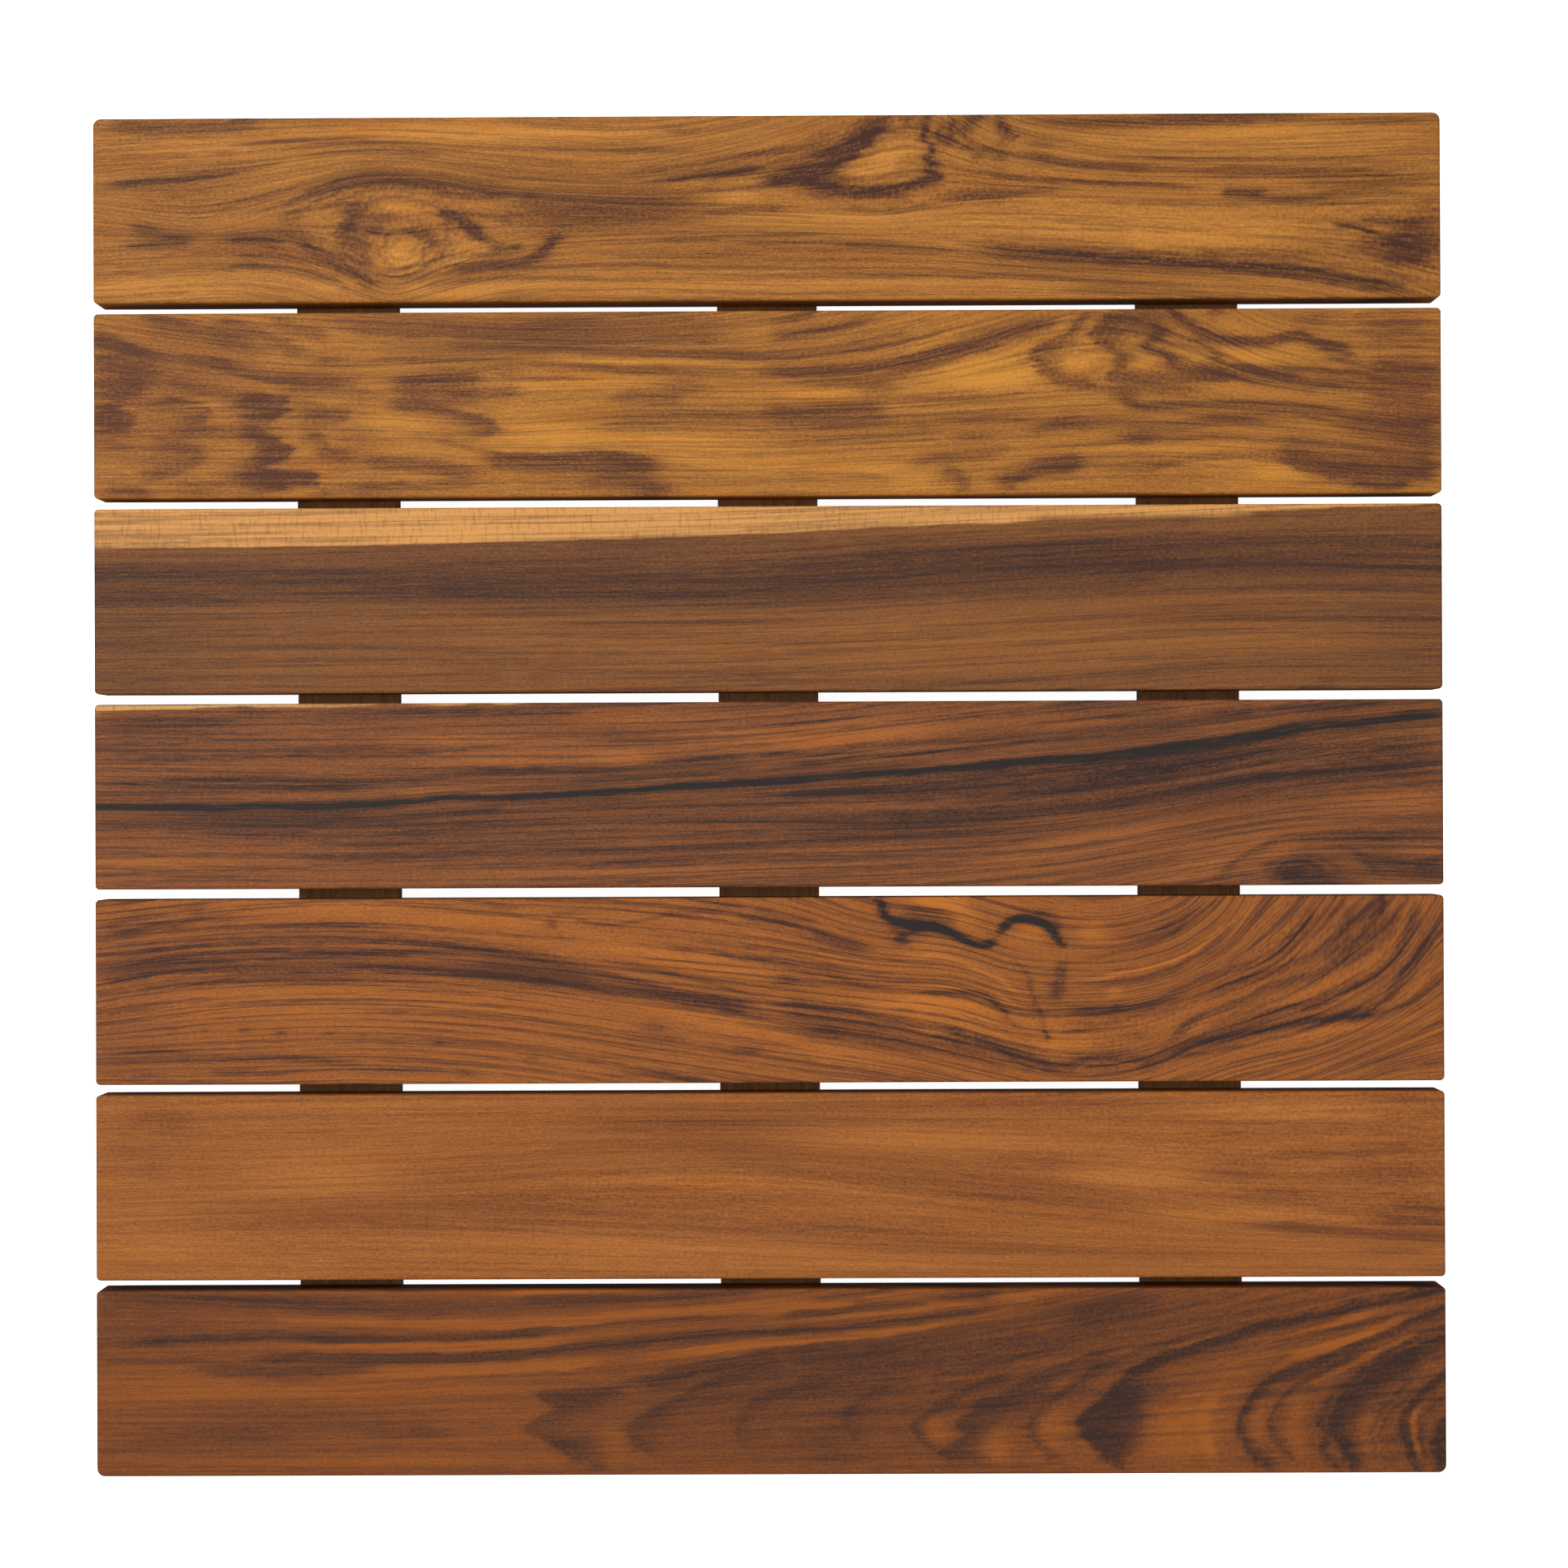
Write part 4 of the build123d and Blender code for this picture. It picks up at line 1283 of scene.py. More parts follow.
FIGURE_5 = Figure(
    seed=55,
    rails=(
        Rail(-34, ((-254, -24), (-200, -22), (-150, -21), (-100, -24), (-50, -31), (0, -39), (60, -46),
            (110, -58), (170, -46), (220, -28), (254, -14))),
        Rail(-12, ((-254, -10), (-200, -4), (-150, -3), (-100, -6), (-50, -13), (0, -20), (50, -28),
            (90, -37), (110, -41), (145, -38), (175, -28), (215, -18), (240, -4), (254, 8))),
        Rail(0, ((-254, 3), (-230, 7), (-200, 9), (-150, 9), (-100, 6), (-50, -1), (0, -8), (50, -15),
            (90, -25), (108, -29), (140, -27), (160, -19), (190, -9), (215, 1), (235, 16), (245, 32),
            (254, 50))),
        Rail(12, ((-254, 14), (-200, 18), (-150, 18), (-100, 14), (-50, 9), (0, 4), (40, 0), (70, -2),
            (95, -9), (115, -9), (140, -7), (170, 3), (195, 16), (208, 32), (220, 50), (254, 80))),
        Rail(26, ((-254, 26), (-200, 31), (-150, 33), (-100, 30), (-50, 27), (0, 21), (40, 13), (70, 10),
            (95, 3), (115, 2), (140, 4), (160, 11), (175, 22), (185, 36), (200, 55), (254, 110))),
    ),
    dark=(
        line(0.5, 0.9, (-256, 24), (-240, 27), (-225, 30), (-205, 34), left=1.6),
        line(0.4, 0.9, (-256, 20), (-235, 25), (-215, 28), (-190, 33), right=1.6),
        line(0.5, 0.9, (-256, 13), (-236, 14.5), (-215, 17.5), (-195, 18.6), (-165, 18.3), (-140, 18.6),
            (-118, 17), (-96, 14.5), (-80, 12), (-62, 7), left=1.4, fade=0.12),
        line(0.6, 1, (-242, 10), (-226, 13.8), (-208, 15.2), (-180, 15.6), (-150, 15), (-120, 15.5),
            (-100, 13.8), (-80, 10), (-60, 6), (-45, 2), (-25, -2), (0, -5.5), right=1.4, fade=0.08),
        line(0.5, 0.8, (-256, 9), (-230, 11.4), (-200, 10.6), (-170, 11.2), (-140, 10), (-115, 9.5),
            (-95, 8.5), (-80, 6), (-65, 3), (-45, -0.5), (-20, -4), (0, -7), left=1.2, fade=0.08),
        line(0.75, 1.3, (-256, 3), (-242, 5), (-226, 7.4), (-200, 8), (-170, 8.6), (-150, 8.4), (-130, 7),
            (-110, 5.6), (-95, 4.2), (-80, 2.2), (-60, -1), (-40, -3), (-20, -6.5), (0, -10), left=1.4,
            fade=0.06),
        line(0.4, 0.8, (-256, 6.5), (-240, 8.6), (-222, 9.6), (-190, 9.6)),
        line(0.5, 2.5, (-118, 8), (-98, 7), (-80, 4.6), (-62, 1), left=2, right=2),
        line(0.45, 0.9, (-60, 18.5), (-45, 17), (-25, 15), (0, 9.6), (20, 5.6), (40, 0.6), (52, -1),
            left=1.4),
        line(0.4, 0.8, (-72, 13), (-40, 7), (-20, 2), (0, -3)),
        line(0.45, 0.9, (-120, 34.5), (-100, 32), (-85, 30), (-70, 29.6), (-52, 31.5), (-42, 34)),
        line(0.4, 0.8, (-78, 27.5), (-62, 25), (-45, 27), (-30, 29.3), (-12, 28)),
        line(0.4, 0.8, (-35, 34), (-15, 31.5), (5, 28), (22, 24)),
        line(0.55, 1, (-14, 29), (0, 26.6), (10, 24.6), (18, 21.8), (28, 18.6), (38, 15.8), (44, 13.6),
            right=1.4, fade=0.15),
        line(0.5, 1.6, (15, 22.4), (25, 19.4), (37, 16), right=1.2),
        line(0.4, 0.8, (4, 23), (20, 18), (40, 13)), Patch(0.4, 6, 3.6, 5, 2.2),
        line(0.75, 1.1, (0, -4.5), (15, -7), (30, -8.8), (40, -11), (50, -12.6), (65, -15), (75, -18),
            (85, -21.6), (93, -25), (103, -28.4), (112, -28.6), (122, -26.4), (135, -26.6), (143, -27.2),
            (150, -24), (160, -20.4), (175, -18), (195, -14), (215, -11), (236, -9), left=1.6, fade=0.05),
        line(0.6, 0.9, (0, -8), (20, -11), (40, -14), (60, -17.4), (75, -20), (88, -24), (96, -29),
            (106, -31), (125, -29), (140, -29.4), (160, -24.6), (185, -21), fade=0.06),
        line(0.6, 0.9, (0, -11.5), (15, -14), (35, -15.6), (55, -19), (70, -21.4), (86, -26.4), (96, -31),
            right=1.2),
        line(0.5, 0.9, (0, -13.4), (20, -16.6), (45, -20), (70, -24), (88, -29), (98, -32.6), right=1.4),
        line(0.4, 3, (60, -17), (80, -21), (95, -27), (110, -29), left=2, right=1.4),
        line(0.5, 0.8, (50, -1), (64, -1.4), (74, -0.8), (82, -3), (88, -8), (93, -13), (96.5, -14.6),
            (99.5, -12), right=1.2),
        line(0.97, 2.8, (41.5, 37), (42.5, 31), (45, 27.2), (50, 25.6), (57, 23.6), (63, 23.8),
            (69, 21.4), (75, 18.2), (79.5, 16.6), (84, 17.4), (88, 20), left=0.4, right=0.5, fade=0.08),
        line(0.96, 3, (46, 27), (51, 26), (58, 24), (66, 22.4), (74, 18.4), fade=0.3),
        line(0.5, 5, (48, 29.5), (57, 27.5), (66, 25), (74, 21.5), left=1.6, right=1, fade=0.3),
        line(0.96, 2.8, (86.5, 18.5), (88, 22), (91.5, 25.4), (97, 27), (102.5, 25.8), (107, 22),
            (109.4, 18), (110.8, 13.6), left=0.5, right=0.4, fade=0.12),
        line(0.96, 2.4, (90, 24.5), (97, 26.4), (103, 24.6), (108, 19.6), fade=0.3),
        line(0.5, 4, (99, 29), (105, 26), (109, 21), left=1.8, right=1), Patch(0.95, 50.5, 20, 2.9, 2.8),
        Patch(0.85, 54.8, 22.4, 3.4, 1.2, 10), Patch(0.6, 52.6, 17.6, 2.2, 1),
        Patch(0.5, 47.5, 22.6, 2, 1),
        line(0.45, 0.8, (91.5, 15), (94, 9), (97.6, 4), (98.6, -3), (101.6, -8), (103.6, -14),
            (104.4, -19)),
        line(0.55, 2.6, (111.6, 12), (110.6, 5), (109.6, 0), (110.6, -4), left=1, right=1.4),
        Patch(0.5, 107.6, -1, 2.2, 3.4), Patch(0.8, 104.2, -17.4, 1.3, 2.2, 6),
        line(0.5, 0.9, (110.5, 6), (117, 2.6), (126, 2.4), (134, 3.4), (142, 4.2), (151, 7.4),
            (160, 11.6), (168, 17.4), (174, 24), (180, 34), right=1.4),
        line(0.4, 0.8, (113, 12), (122, 12), (134, 14), (146, 17), (156, 24), (164, 35)),
        line(0.45, 0.9, (130, 20), (143, 20.5), (153, 25), (165, 31), (172, 36), right=1.4),
        line(0.55, 1, (110, -4), (115, -6.8), (122, -7.8), (132, -7.4), (142, -5.4), (152, -1), (161, 3),
            (171, 6.6), (181, 9.6), (190, 13.6), (197, 19.6), (203, 27), (206, 36), right=1.8, fade=0.1),
        line(0.4, 0.8, (104, -14), (115, -12.4), (126, -13), (137, -11), (149, -8.6), (160, -4.6),
            (172, 1)),
        line(0.6, 1.2, (160, -4.8), (173, 1.4), (186, 5.4), (196, 9.4), (207, 15.4), (214, 20.6),
            (219, 28), (222, 36), right=2.2, fade=0.15),
        line(0.65, 1.2, (149, -23), (154, -16), (160, -11.4), (168, -8), (180, -3.4), (190, 1.6),
            (203, 5.4), (215, 12), (223, 20), (228, 28), (231, 36), right=2.6, fade=0.1),
        Patch(0.75, 230.6, 30, 1.8, 4.4, -6), Patch(0.5, 216, 15, 10, 2.6, 30),
        line(0.65, 1.2, (145, -27), (156, -21.6), (166, -18), (176, -14.4), (190, -8.6), (205, -5.6),
            (217, 0), (228, 5), (235, 12), (238.5, 20), (241, 28), (244, 36), right=2.4, fade=0.08),
        line(0.55, 1.1, (158, -21), (180, -17), (200, -12.6), (215, -10), (226, -7.4), (233, -2),
            (241, 8), (247, 18), (252, 28), right=2.2, fade=0.12),
        line(0.45, 1, (196, -12), (220, -10.6), (238, -7), (248, -1), (258, 8)),
        line(0.4, 1, (210, 6), (221, 11), (230, 18), (235, 27), (237, 36)),
        Patch(0.5, 220, -11.4, 6, 1.4), Patch(0.55, -82, 25, 1.9, 1.8), Patch(0.6, 130, -7.6, 1.3, 1.9),
        Patch(0.35, 137, -17.4, 6, 1.2), Patch(0.35, 120, -15, 6, 1.2), Patch(0.4, -225, -13.6, 3, 0.5),
        Patch(0.5, -213, -14.2, 2, 0.6), Patch(0.55, -198, -14.4, 2.4, 0.7),
        Patch(0.6, -184, -15, 2.2, 0.7), Patch(0.5, -166, -15.6, 2, 0.6),
        Patch(0.45, -153.6, -16.4, 1.5, 0.6), Patch(0.5, -125, -19.4, 2, 0.7),
        Patch(0.5, -88, -25, 3, 0.7), Patch(0.3, -142, -8, 8, 0.6), Patch(0.45, -44, -14, 5.5, 2),
        Patch(0.3, -38, -18, 6, 1.6), Patch(0.45, -10, -22.4, 7, 1.5),
        line(0.3, 1, (-256, -2), (-215, 3), (-170, 4), (-120, 2.6), (-80, -2.6)),
        line(0.45, 1, (-256, -23), (-232, -22), (-213, -24), (-190, -24), (-165, -26), (-140, -28.6),
            right=1.6),
        line(0.4, 1, (-256, -30.6), (-234, -31), (-200, -29.6), (-172, -31)),
        line(0.55, 1, (-160, -30), (-140, -30.2), (-120, -31), (-104, -33.4), left=1.6),
        line(0.4, 1, (-70, -30.6), (-45, -32), (-20, -34)), Patch(0.35, -162, 24.4, 20, 2),
    ),
    shade=(
        Patch(0.2, -245, -5, 20, 40), Patch(-0.4, 66, -11, 32, 8, -12), Patch(-0.6, 67, 31.5, 13, 5, -25),
        Patch(-0.5, 62, 32, 8, 3), Patch(-0.4, 98, 20.5, 7, 3.4), Patch(-0.4, 110, -19, 13, 6),
        Patch(-0.45, 122, 21, 6, 4), Patch(0.25, 225, 25, 30, 12), Patch(-0.15, -150, -5, 70, 6),
        Patch(-0.2, 60, 16, 12, 3), Patch(0.12, 150, 18, 40, 14),
        line(-0.5, 0.8, (112, 4.6), (119, 4), (130, 4.8), (147, 8.4), (160, 13.6), (168, 19.6),
            (178, 28.6), (184, 36), left=0.6, right=0.6),
        line(-0.45, 0.7, (43, 14), (50, 12.6), (58, 12), (62, 12.6), (73, 10), (84, 4.6), (92, -1),
            (98, -8), left=0.6, right=0.6),
        line(-0.4, 0.7, (45, 0.6), (75, 0.4), (90, -4.6), (99, -9)), Patch(-0.35, 165, -13, 14, 2, 30),
        Patch(-0.3, 200, -3, 20, 2, 25), Patch(-0.3, 215, -15, 30, 1.6, 8), Patch(-0.35, 130, -2, 3, 3),
        Patch(-0.3, 62, -5, 24, 2), Patch(-0.25, -30, 12, 40, 4, -10), Patch(-0.25, -100, 27, 40, 3),
        Patch(-0.25, -160, 31, 30, 2.6), Patch(0.2, -90, 8, 30, 5, -8), Patch(0.2, 195, -5, 30, 3, 20),
        Patch(0.25, 238, -28, 20, 4), Patch(-0.3, -15, -13, 40, 2.4, -12),
        Patch(-0.25, 28, -25, 20, 3, -8), Patch(0.2, -190, 22, 30, 4),
    ),
    feather=1.2,
    wander=0.7,
)

FIGURE_6 = Figure(
    seed=66,
    rails=(
        Rail(-36, ((-254, -34), (0, -37), (254, -40))),
        Rail(-14, ((-254, -13), (-200, -11), (-150, -10), (-100, -12), (-50, -14), (0, -17), (100, -22),
            (254, -26))),
        Rail(2, ((-254, 0), (-150, 2), (-50, 7), (0, 7), (60, 1), (120, -5), (180, -13), (254, -17))),
        Rail(30, ((-254, 26), (-150, 28), (0, 28), (100, 28), (254, 31))),
    ),
    dark=(
        line(0.28, 5, (-254, -12), (-180, -10), (-100, -11), (-50, -14), (0, -17), (50, -20), (120, -23),
            left=3, right=3),
        line(0.25, 4, (-95, 28), (-20, 26), (60, 27), (110, 28), (180, 27), left=2, right=2),
        line(0.22, 5, (-60, 14), (-10, 12), (50, 3), (110, -4), (165, -9), left=3, right=3),
        Patch(0.32, -228, 25, 14, 5, -15), Patch(0.2, -240, 15, 12, 4), Patch(0.2, -20, 18, 40, 8),
        line(0.65, 2.2, (160, -13.5), (190, -15.5), (220, -18), (300, -22), left=0.8, right=1, fade=0.3),
        line(0.6, 2.2, (212, -13), (235, -14), (300, -16), fade=0.3),
        line(0.45, 1.4, (222, -7.5), (240, -9), (300, -10), fade=0.3),
        line(0.5, 1.4, (212, 33.5), (235, 31.5), (300, 30), fade=0.3),
        line(0.35, 2, (178, 10.5), (220, 11.5), (250, 14)), Patch(0.3, 176, 5, 16, 5),
        Patch(0.3, 195, -3, 14, 1.6), Patch(0.25, 228, 3, 18, 4),
        line(0.45, 1.6, (236, -32), (300, -32.5), fade=0.3), Patch(0.3, 172, 19, 8, 1),
        line(0.2, 1.2, (60, -3), (100, -5), (150, -8)), Patch(0.2, 95, 8, 18, 4),
        line(0.25, 1, (-254, -30), (-200, -30), (-170, -31)),
        line(0.35, 1.4, (225, -12), (240, -13), (256, -13)), Patch(0.3, 246, -8, 10, 3),
        Patch(0.2, 200, 20, 30, 1.4), line(0.3, 1.2, (200, -9), (225, -10), (250, -8)),
        Patch(0.25, 235, -25, 14, 2),
    ),
    shade=(
        Patch(-0.25, -50, -23, 90, 5), Patch(-0.2, -170, 5, 30, 9), Patch(-0.2, 170, -12, 30, 3),
        Patch(-0.25, 140, 5, 25, 6), Patch(-0.2, 60, 18, 60, 4), Patch(0.15, -90, 8, 60, 14),
        Patch(-0.15, -235, -20, 30, 8), Patch(0.15, 240, 10, 18, 25), Patch(-0.2, 200, 27, 50, 3),
        Patch(0.15, 120, -26, 60, 5), Patch(0.12, -60, 24, 60, 6), Patch(-0.15, 30, -29, 90, 3),
    ),
    feather=3,
    wander=0.5,
)

FIGURE_7 = Figure(
    seed=77,
    rails=(
        Rail(-36, ((-254, -36), (-100, -36), (254, -36))),
        Rail(2, ((-254, 1), (-150, 2), (-100, 4), (-50, 6), (0, 12.5), (50, 16.5), (100, 24), (150, 33),
            (254, 60))),
        Rail(10, ((-254, 8), (-190, 9.5), (-100, 10.5), (-50, 15.5), (0, 19.5), (50, 22.5), (100, 28),
            (150, 38), (254, 66))),
        Rail(18, ((-254, 16.5), (-200, 18), (-130, 18), (-50, 22.5), (0, 26), (50, 31), (100, 36),
            (254, 80))),
        Rail(32, ((-254, 33), (-150, 29), (-80, 30), (0, 35), (254, 100))),
    ),
    dark=(
        line(0.5, 3, (-256, 32), (-225, 31.6), (-190, 30.4), (-160, 29.8), (-130, 28.8), (-100, 29),
            (-60, 31), (-30, 33), (0, 34.6), left=1.4, right=1.2, fade=0.05),
        line(0.45, 0.9, (-245, 31.6), (-215, 32.4), (-180, 31.6), (-140, 30)),
        line(0.45, 0.9, (-190, 28.4), (-160, 27.6), (-130, 26), (-108, 26)),
        line(0.4, 0.9, (-110, 31), (-70, 32), (-40, 31.4), (-10, 33)),
        line(0.65, 1.6, (-250, 15), (-225, 16.8), (-200, 18), (-186, 18.6), (-166, 16.8), (-146, 16.8),
            (-125, 17.4), (-100, 18), (-72, 20), left=0.6, right=1.1, fade=0.12),
        line(0.5, 1, (-188, 19.4), (-172, 18.6), (-152, 17.8), (-134, 18)),
        line(0.45, 1, (-110, 18.8), (-80, 20.4), (-50, 23), (-20, 24.6), (0, 25.4)),
        line(0.4, 3, (-225, 6.6), (-200, 5), (-180, 3.4), (-160, 6), (-135, 8), left=1.4, right=1.4),
        line(0.4, 0.9, (-256, 9.2), (-230, 8.6), (-205, 9.4)),
        line(0.7, 1.7, (-204, 9.4), (-178, 10), (-160, 10.6), (-145, 9.8), (-125, 10), (-105, 10.6),
            (-90, 11.8), (-75, 13.2), (-58, 14.8), (-40, 16.6), (-20, 18.6), (0, 19), (22, 19.8),
            (45, 22), (72, 25.4), (96, 28.6), left=0.5, right=1.6, fade=0.08),
        line(0.4, 1, (-150, 8.4), (-120, 8.6), (-90, 10)),
        line(0.55, 1.2, (0, 25), (20, 26.4), (45, 29.4), (70, 32), (90, 33.6), right=1.2, fade=0.1),
        line(0.45, 1, (10, 30.6), (35, 33), (55, 35)),
        line(0.5, 1.6, (-62, -0.4), (-46, 1.4), (-36, 4.6), (-26, 6.2), (-12, 9), (2, 11.6), (20, 13.6),
            (42, 15.6), (62, 19), (82, 23.4), (104, 28), (128, 31.4), (152, 35), left=0.5, right=5,
            fade=0.08),
        line(0.45, 1, (-50, -1.6), (-36, 2), (-20, 5), (-4, 8.6)),
        line(0.4, 1.2, (0, 6), (20, 8), (34, 10), (56, 12.6)),
        line(0.55, 2, (-50, -0.6), (-62, -3), (-74, -3.6), (-86, -5.6), (-79, -9.6), (-86, -14),
            (-90, -17), (-84, -21), (-78, -25), (-72, -29.6), (-56, -33), left=5, right=0.5, fade=0.12),
        Patch(0.45, -72, -9, 9, 4), Patch(0.4, -71, -22, 9, 4),
        line(0.45, 1.2, (8, 9), (-10, 4.6), (-24, -0.6), (-36, -6), (-45, -11), (-51, -15), (-53.4, -18),
            (-50, -23), (-44, -27), (-38, -30), left=3.4, right=0.5, fade=0.15),
        Patch(0.3, -44, -16, 6, 6),
        line(0.35, 1, (30, 4), (12, -0.6), (-4, -6), (-12, -13), (-12, -21), (-6, -28), left=3,
            right=0.6),
        line(0.35, 1, (50, 3), (40, -2), (32, -8), (28, -14), (32, -21), (38, -27), left=3, right=0.6),
        Patch(0.3, 30, -11.6, 7, 1.6), Patch(0.3, 21, -22, 9, 1.6), Patch(0.3, 25, -28, 11, 1.6),
        line(0.5, 1, (92, 3.6), (76, -1.6), (64, -7.4), (57, -12.6), (53, -16.6), (55, -21), (60, -25),
            (68, -27.6), left=2, right=0.4, fade=0.15),
        line(0.4, 0.9, (120, 16), (96, 9.6), (74, 4.6), (52, 1.6)),
        line(0.6, 1.8, (134, 13), (120, 9), (105, 4), (94, -1), (86, -6), (78, -8), (76, -12), (71, -16),
            (73.6, -20), (70, -24), (65, -27), (74, -30), (82, -35), left=5, right=0.4, fade=0.12),
        line(0.3, 4, (110, 2), (94, -5), (82, -12), (78, -20), (80, -28), left=4, right=2),
        line(0.5, 1, (176, 21.6), (160, 17.4), (145, 13), (130, 8), (120, 3.4), (112, -2), (104, -8),
            (99, -13), (98, -18), (101, -24), (107, -30), (113, -35), left=2.2, right=0.4, fade=0.1),
        Patch(0.45, 120, 24.6, 8, 4, 10), Patch(0.3, 136, 28, 18, 4, 10),
        line(0.4, 0.9, (112, 19), (140, 24), (170, 31), (190, 36)),
        line(0.92, 2, (258, 37), (245, 33.6), (231, 31), (220, 28.6), (208, 25.4), (194, 22), (181, 19.6),
            (170, 15.8), (160, 12.8), (150, 10.4), (142, 6.6), (135, 2.4), (130, -3), (124, -8),
            (120, -11), (116.6, -14.6), (117.6, -18.6), (122, -24), (127, -28.6), (135, -36), left=1.8,
            right=0.4, fade=0.05),
        line(0.75, 2.2, (212, 26.4), (196, 22.4), (182, 19.6), (166, 14), (150, 10), (138, 4), fade=0.3),
        line(0.85, 6, (140, 2), (132, -6), (125, -11), (121, -16), (126, -24), (135, -33), left=5,
            right=0.6, fade=0.2),
        Patch(0.6, 121, -15, 3.6, 4.4),
        line(0.4, 5, (150, 6), (137, -5), (133, -16), (138, -28), left=4, right=3),
        line(0.4, 0.8, (256, 28), (240, 25.6), (222, 21.6), (204, 18), (188, 14), (174, 8)),
        line(0.75, 1.3, (258, 30), (244, 23.4), (230, 17.6), (218, 12.6), (206, 7.4), (196, 4),
            (188, 0.4), (183, -4), (179, -10), (176.6, -15), (176.8, -21), (180, -27), (184.6, -31),
            (190, -36), left=2.2, right=0.4, fade=0.06),
        Patch(0.4, 184, -30, 4, 3, 40), Patch(0.3, 181, -6, 2, 5, -30),
        line(0.5, 0.8, (226, 12), (212, 6), (202, 1), (194.6, -4), (190, -10), (188.8, -16), (190, -22),
            (194, -28.6), (200, -35), left=1.4, right=0.4, fade=0.12),
        line(0.65, 1, (258, 22), (244, 17.4), (234, 11), (225, 4.6), (217, -1), (210.6, -6), (207.4, -11),
            (206.6, -16), (208.6, -20), (207.4, -26), (211, -31), (214, -36), left=1.4, right=0.4,
            fade=0.06),
        line(0.9, 2, (258, 17.6), (246, 13.6), (237, 8.6), (229, 3), (221.6, -1.4), (215.6, -6),
            (212.4, -10.6), (211, -16), (213, -21.6), (216, -27), (218.6, -36), left=3, right=0.4,
            fade=0.05),
        line(0.6, 4, (246, 11), (232, 3), (221, -5), (216, -13), (218, -22), left=3, right=1.4, fade=0.2),
        Patch(0.35, 235, 5, 9, 4, 30),
        line(0.45, 0.7, (244, 3), (235, -5), (229, -12), (226.4, -19), (226.4, -26), (228.4, -34)),
        line(0.4, 0.6, (248, 1), (239, -6), (232.6, -13), (229.6, -20), (230.4, -34)),
        line(0.85, 1.8, (260, 7), (251, 1), (244, -5), (239.4, -10.4), (237.4, -16), (238.6, -23),
            (240.8, -29.4), (243.4, -36), left=1.6, right=0.4, fade=0.06),
        line(0.5, 0.8, (260, -2), (250, -8), (245, -14), (244.4, -22), (246.8, -34)),
        line(0.9, 2.4, (262, -11), (253.6, -15.4), (250, -21), (249.6, -27), (251.6, -36), left=3,
            right=0.4, fade=0.06),
        Patch(0.6, 253.6, -24, 3, 8), Patch(0.3, -232, -22, 16, 2.4), Patch(0.3, -140, -18, 16, 3),
        Patch(0.25, -200, -20, 20, 4), Patch(0.3, -128, -18.4, 8, 2), Patch(0.25, -108, -16, 6, 1.6),
        Patch(0.3, -255, 12, 4, 3),
    ),
    shade=(
        line(-0.6, 2.2, (-175, 22.8), (-120, 21.8), (-80, 23), (-40, 25.6), (0, 27.6), (50, 32.4),
            (80, 34.6), left=1, right=0.8),
        line(-0.5, 2.4, (-190, 13), (-140, 13.6), (-100, 14.4), (-60, 17), left=0.8, right=0.8),
        line(-0.7, 2.6, (-64, 7), (-25, 12), (0, 15.4), (40, 18.4), (70, 22.6), (110, 28.4), (126, 29.6),
            left=0.8, right=0.8),
        line(-0.5, 4, (-170, 4), (-120, 5), (-80, 7), (-50, 10)),
        line(-0.5, 1.4, (0, 22), (50, 26.8), (100, 33), (125, 36)),
        line(-0.5, 1, (-112, 33.6), (-70, 33.8), (-30, 33.4)), Patch(-0.3, -160, -3, 60, 5),
        Patch(-0.2, -110, -29, 60, 4), Patch(-0.2, -230, -5, 30, 12),
        line(-0.3, 3, (-190, 29), (-180, 24), (-140, 23)), Patch(0.28, 30, -10, 98, 24, 0),
        Patch(0.25, 60, 8, 60, 7, 10), Patch(0.25, 150, 22, 60, 9, 8), Patch(0.2, 230, -15, 40, 30),
        Patch(-0.42, 155, -19, 15, 13),
        line(-0.6, 2, (170, -4), (163, -12), (163, -22), (168, -32), left=1, right=1),
        Patch(-0.3, 170, -2, 14, 6, 30), Patch(-0.35, 198, -19, 4, 14),
        line(-0.75, 2, (186, 4), (200, 9.4), (216, 14.4), (232, 20.6), (250, 27.6), left=1, right=0.8),
        line(-0.6, 1.4, (200, -2), (211, 2), (222, 7.6), (236, 14), (254, 20.6)),
        Patch(-0.35, 184, -16, 3, 8), Patch(-0.35, 226, -22, 5, 10),
        line(-0.7, 1.4, (246, -7), (241.6, -14), (242.4, -26), (245, -34)),
        line(-0.5, 1.6, (172, 18.4), (160, 15), (147, 11.4)), Patch(-0.45, 106, -18, 6, 9),
        Patch(-0.35, 113, 2, 10, 2.4, 30), Patch(0.2, -240, 20, 30, 8), Patch(-0.5, 62, -19, 6, 5),
        Patch(-0.3, 100, 0, 8, 2, 28), Patch(0.2, -200, -15, 60, 8), Patch(-0.4, 86, -24, 6, 7),
        Patch(-0.35, -50, -3, 10, 1.6), Patch(-0.35, -62, -24, 8, 6),
        line(-0.5, 1.4, (172, 8), (190, 14.6), (210, 21), (236, 28)), Patch(0.3, 132, -16, 9, 12),
    ),
    feather=1.2,
    wander=0.8,
)


BLACK = srgb(40, 34, 31)
BATTEN_TEAK = WoodFinish(srgb(196, 138, 82), srgb(150, 102, 60), srgb(96, 62, 38))

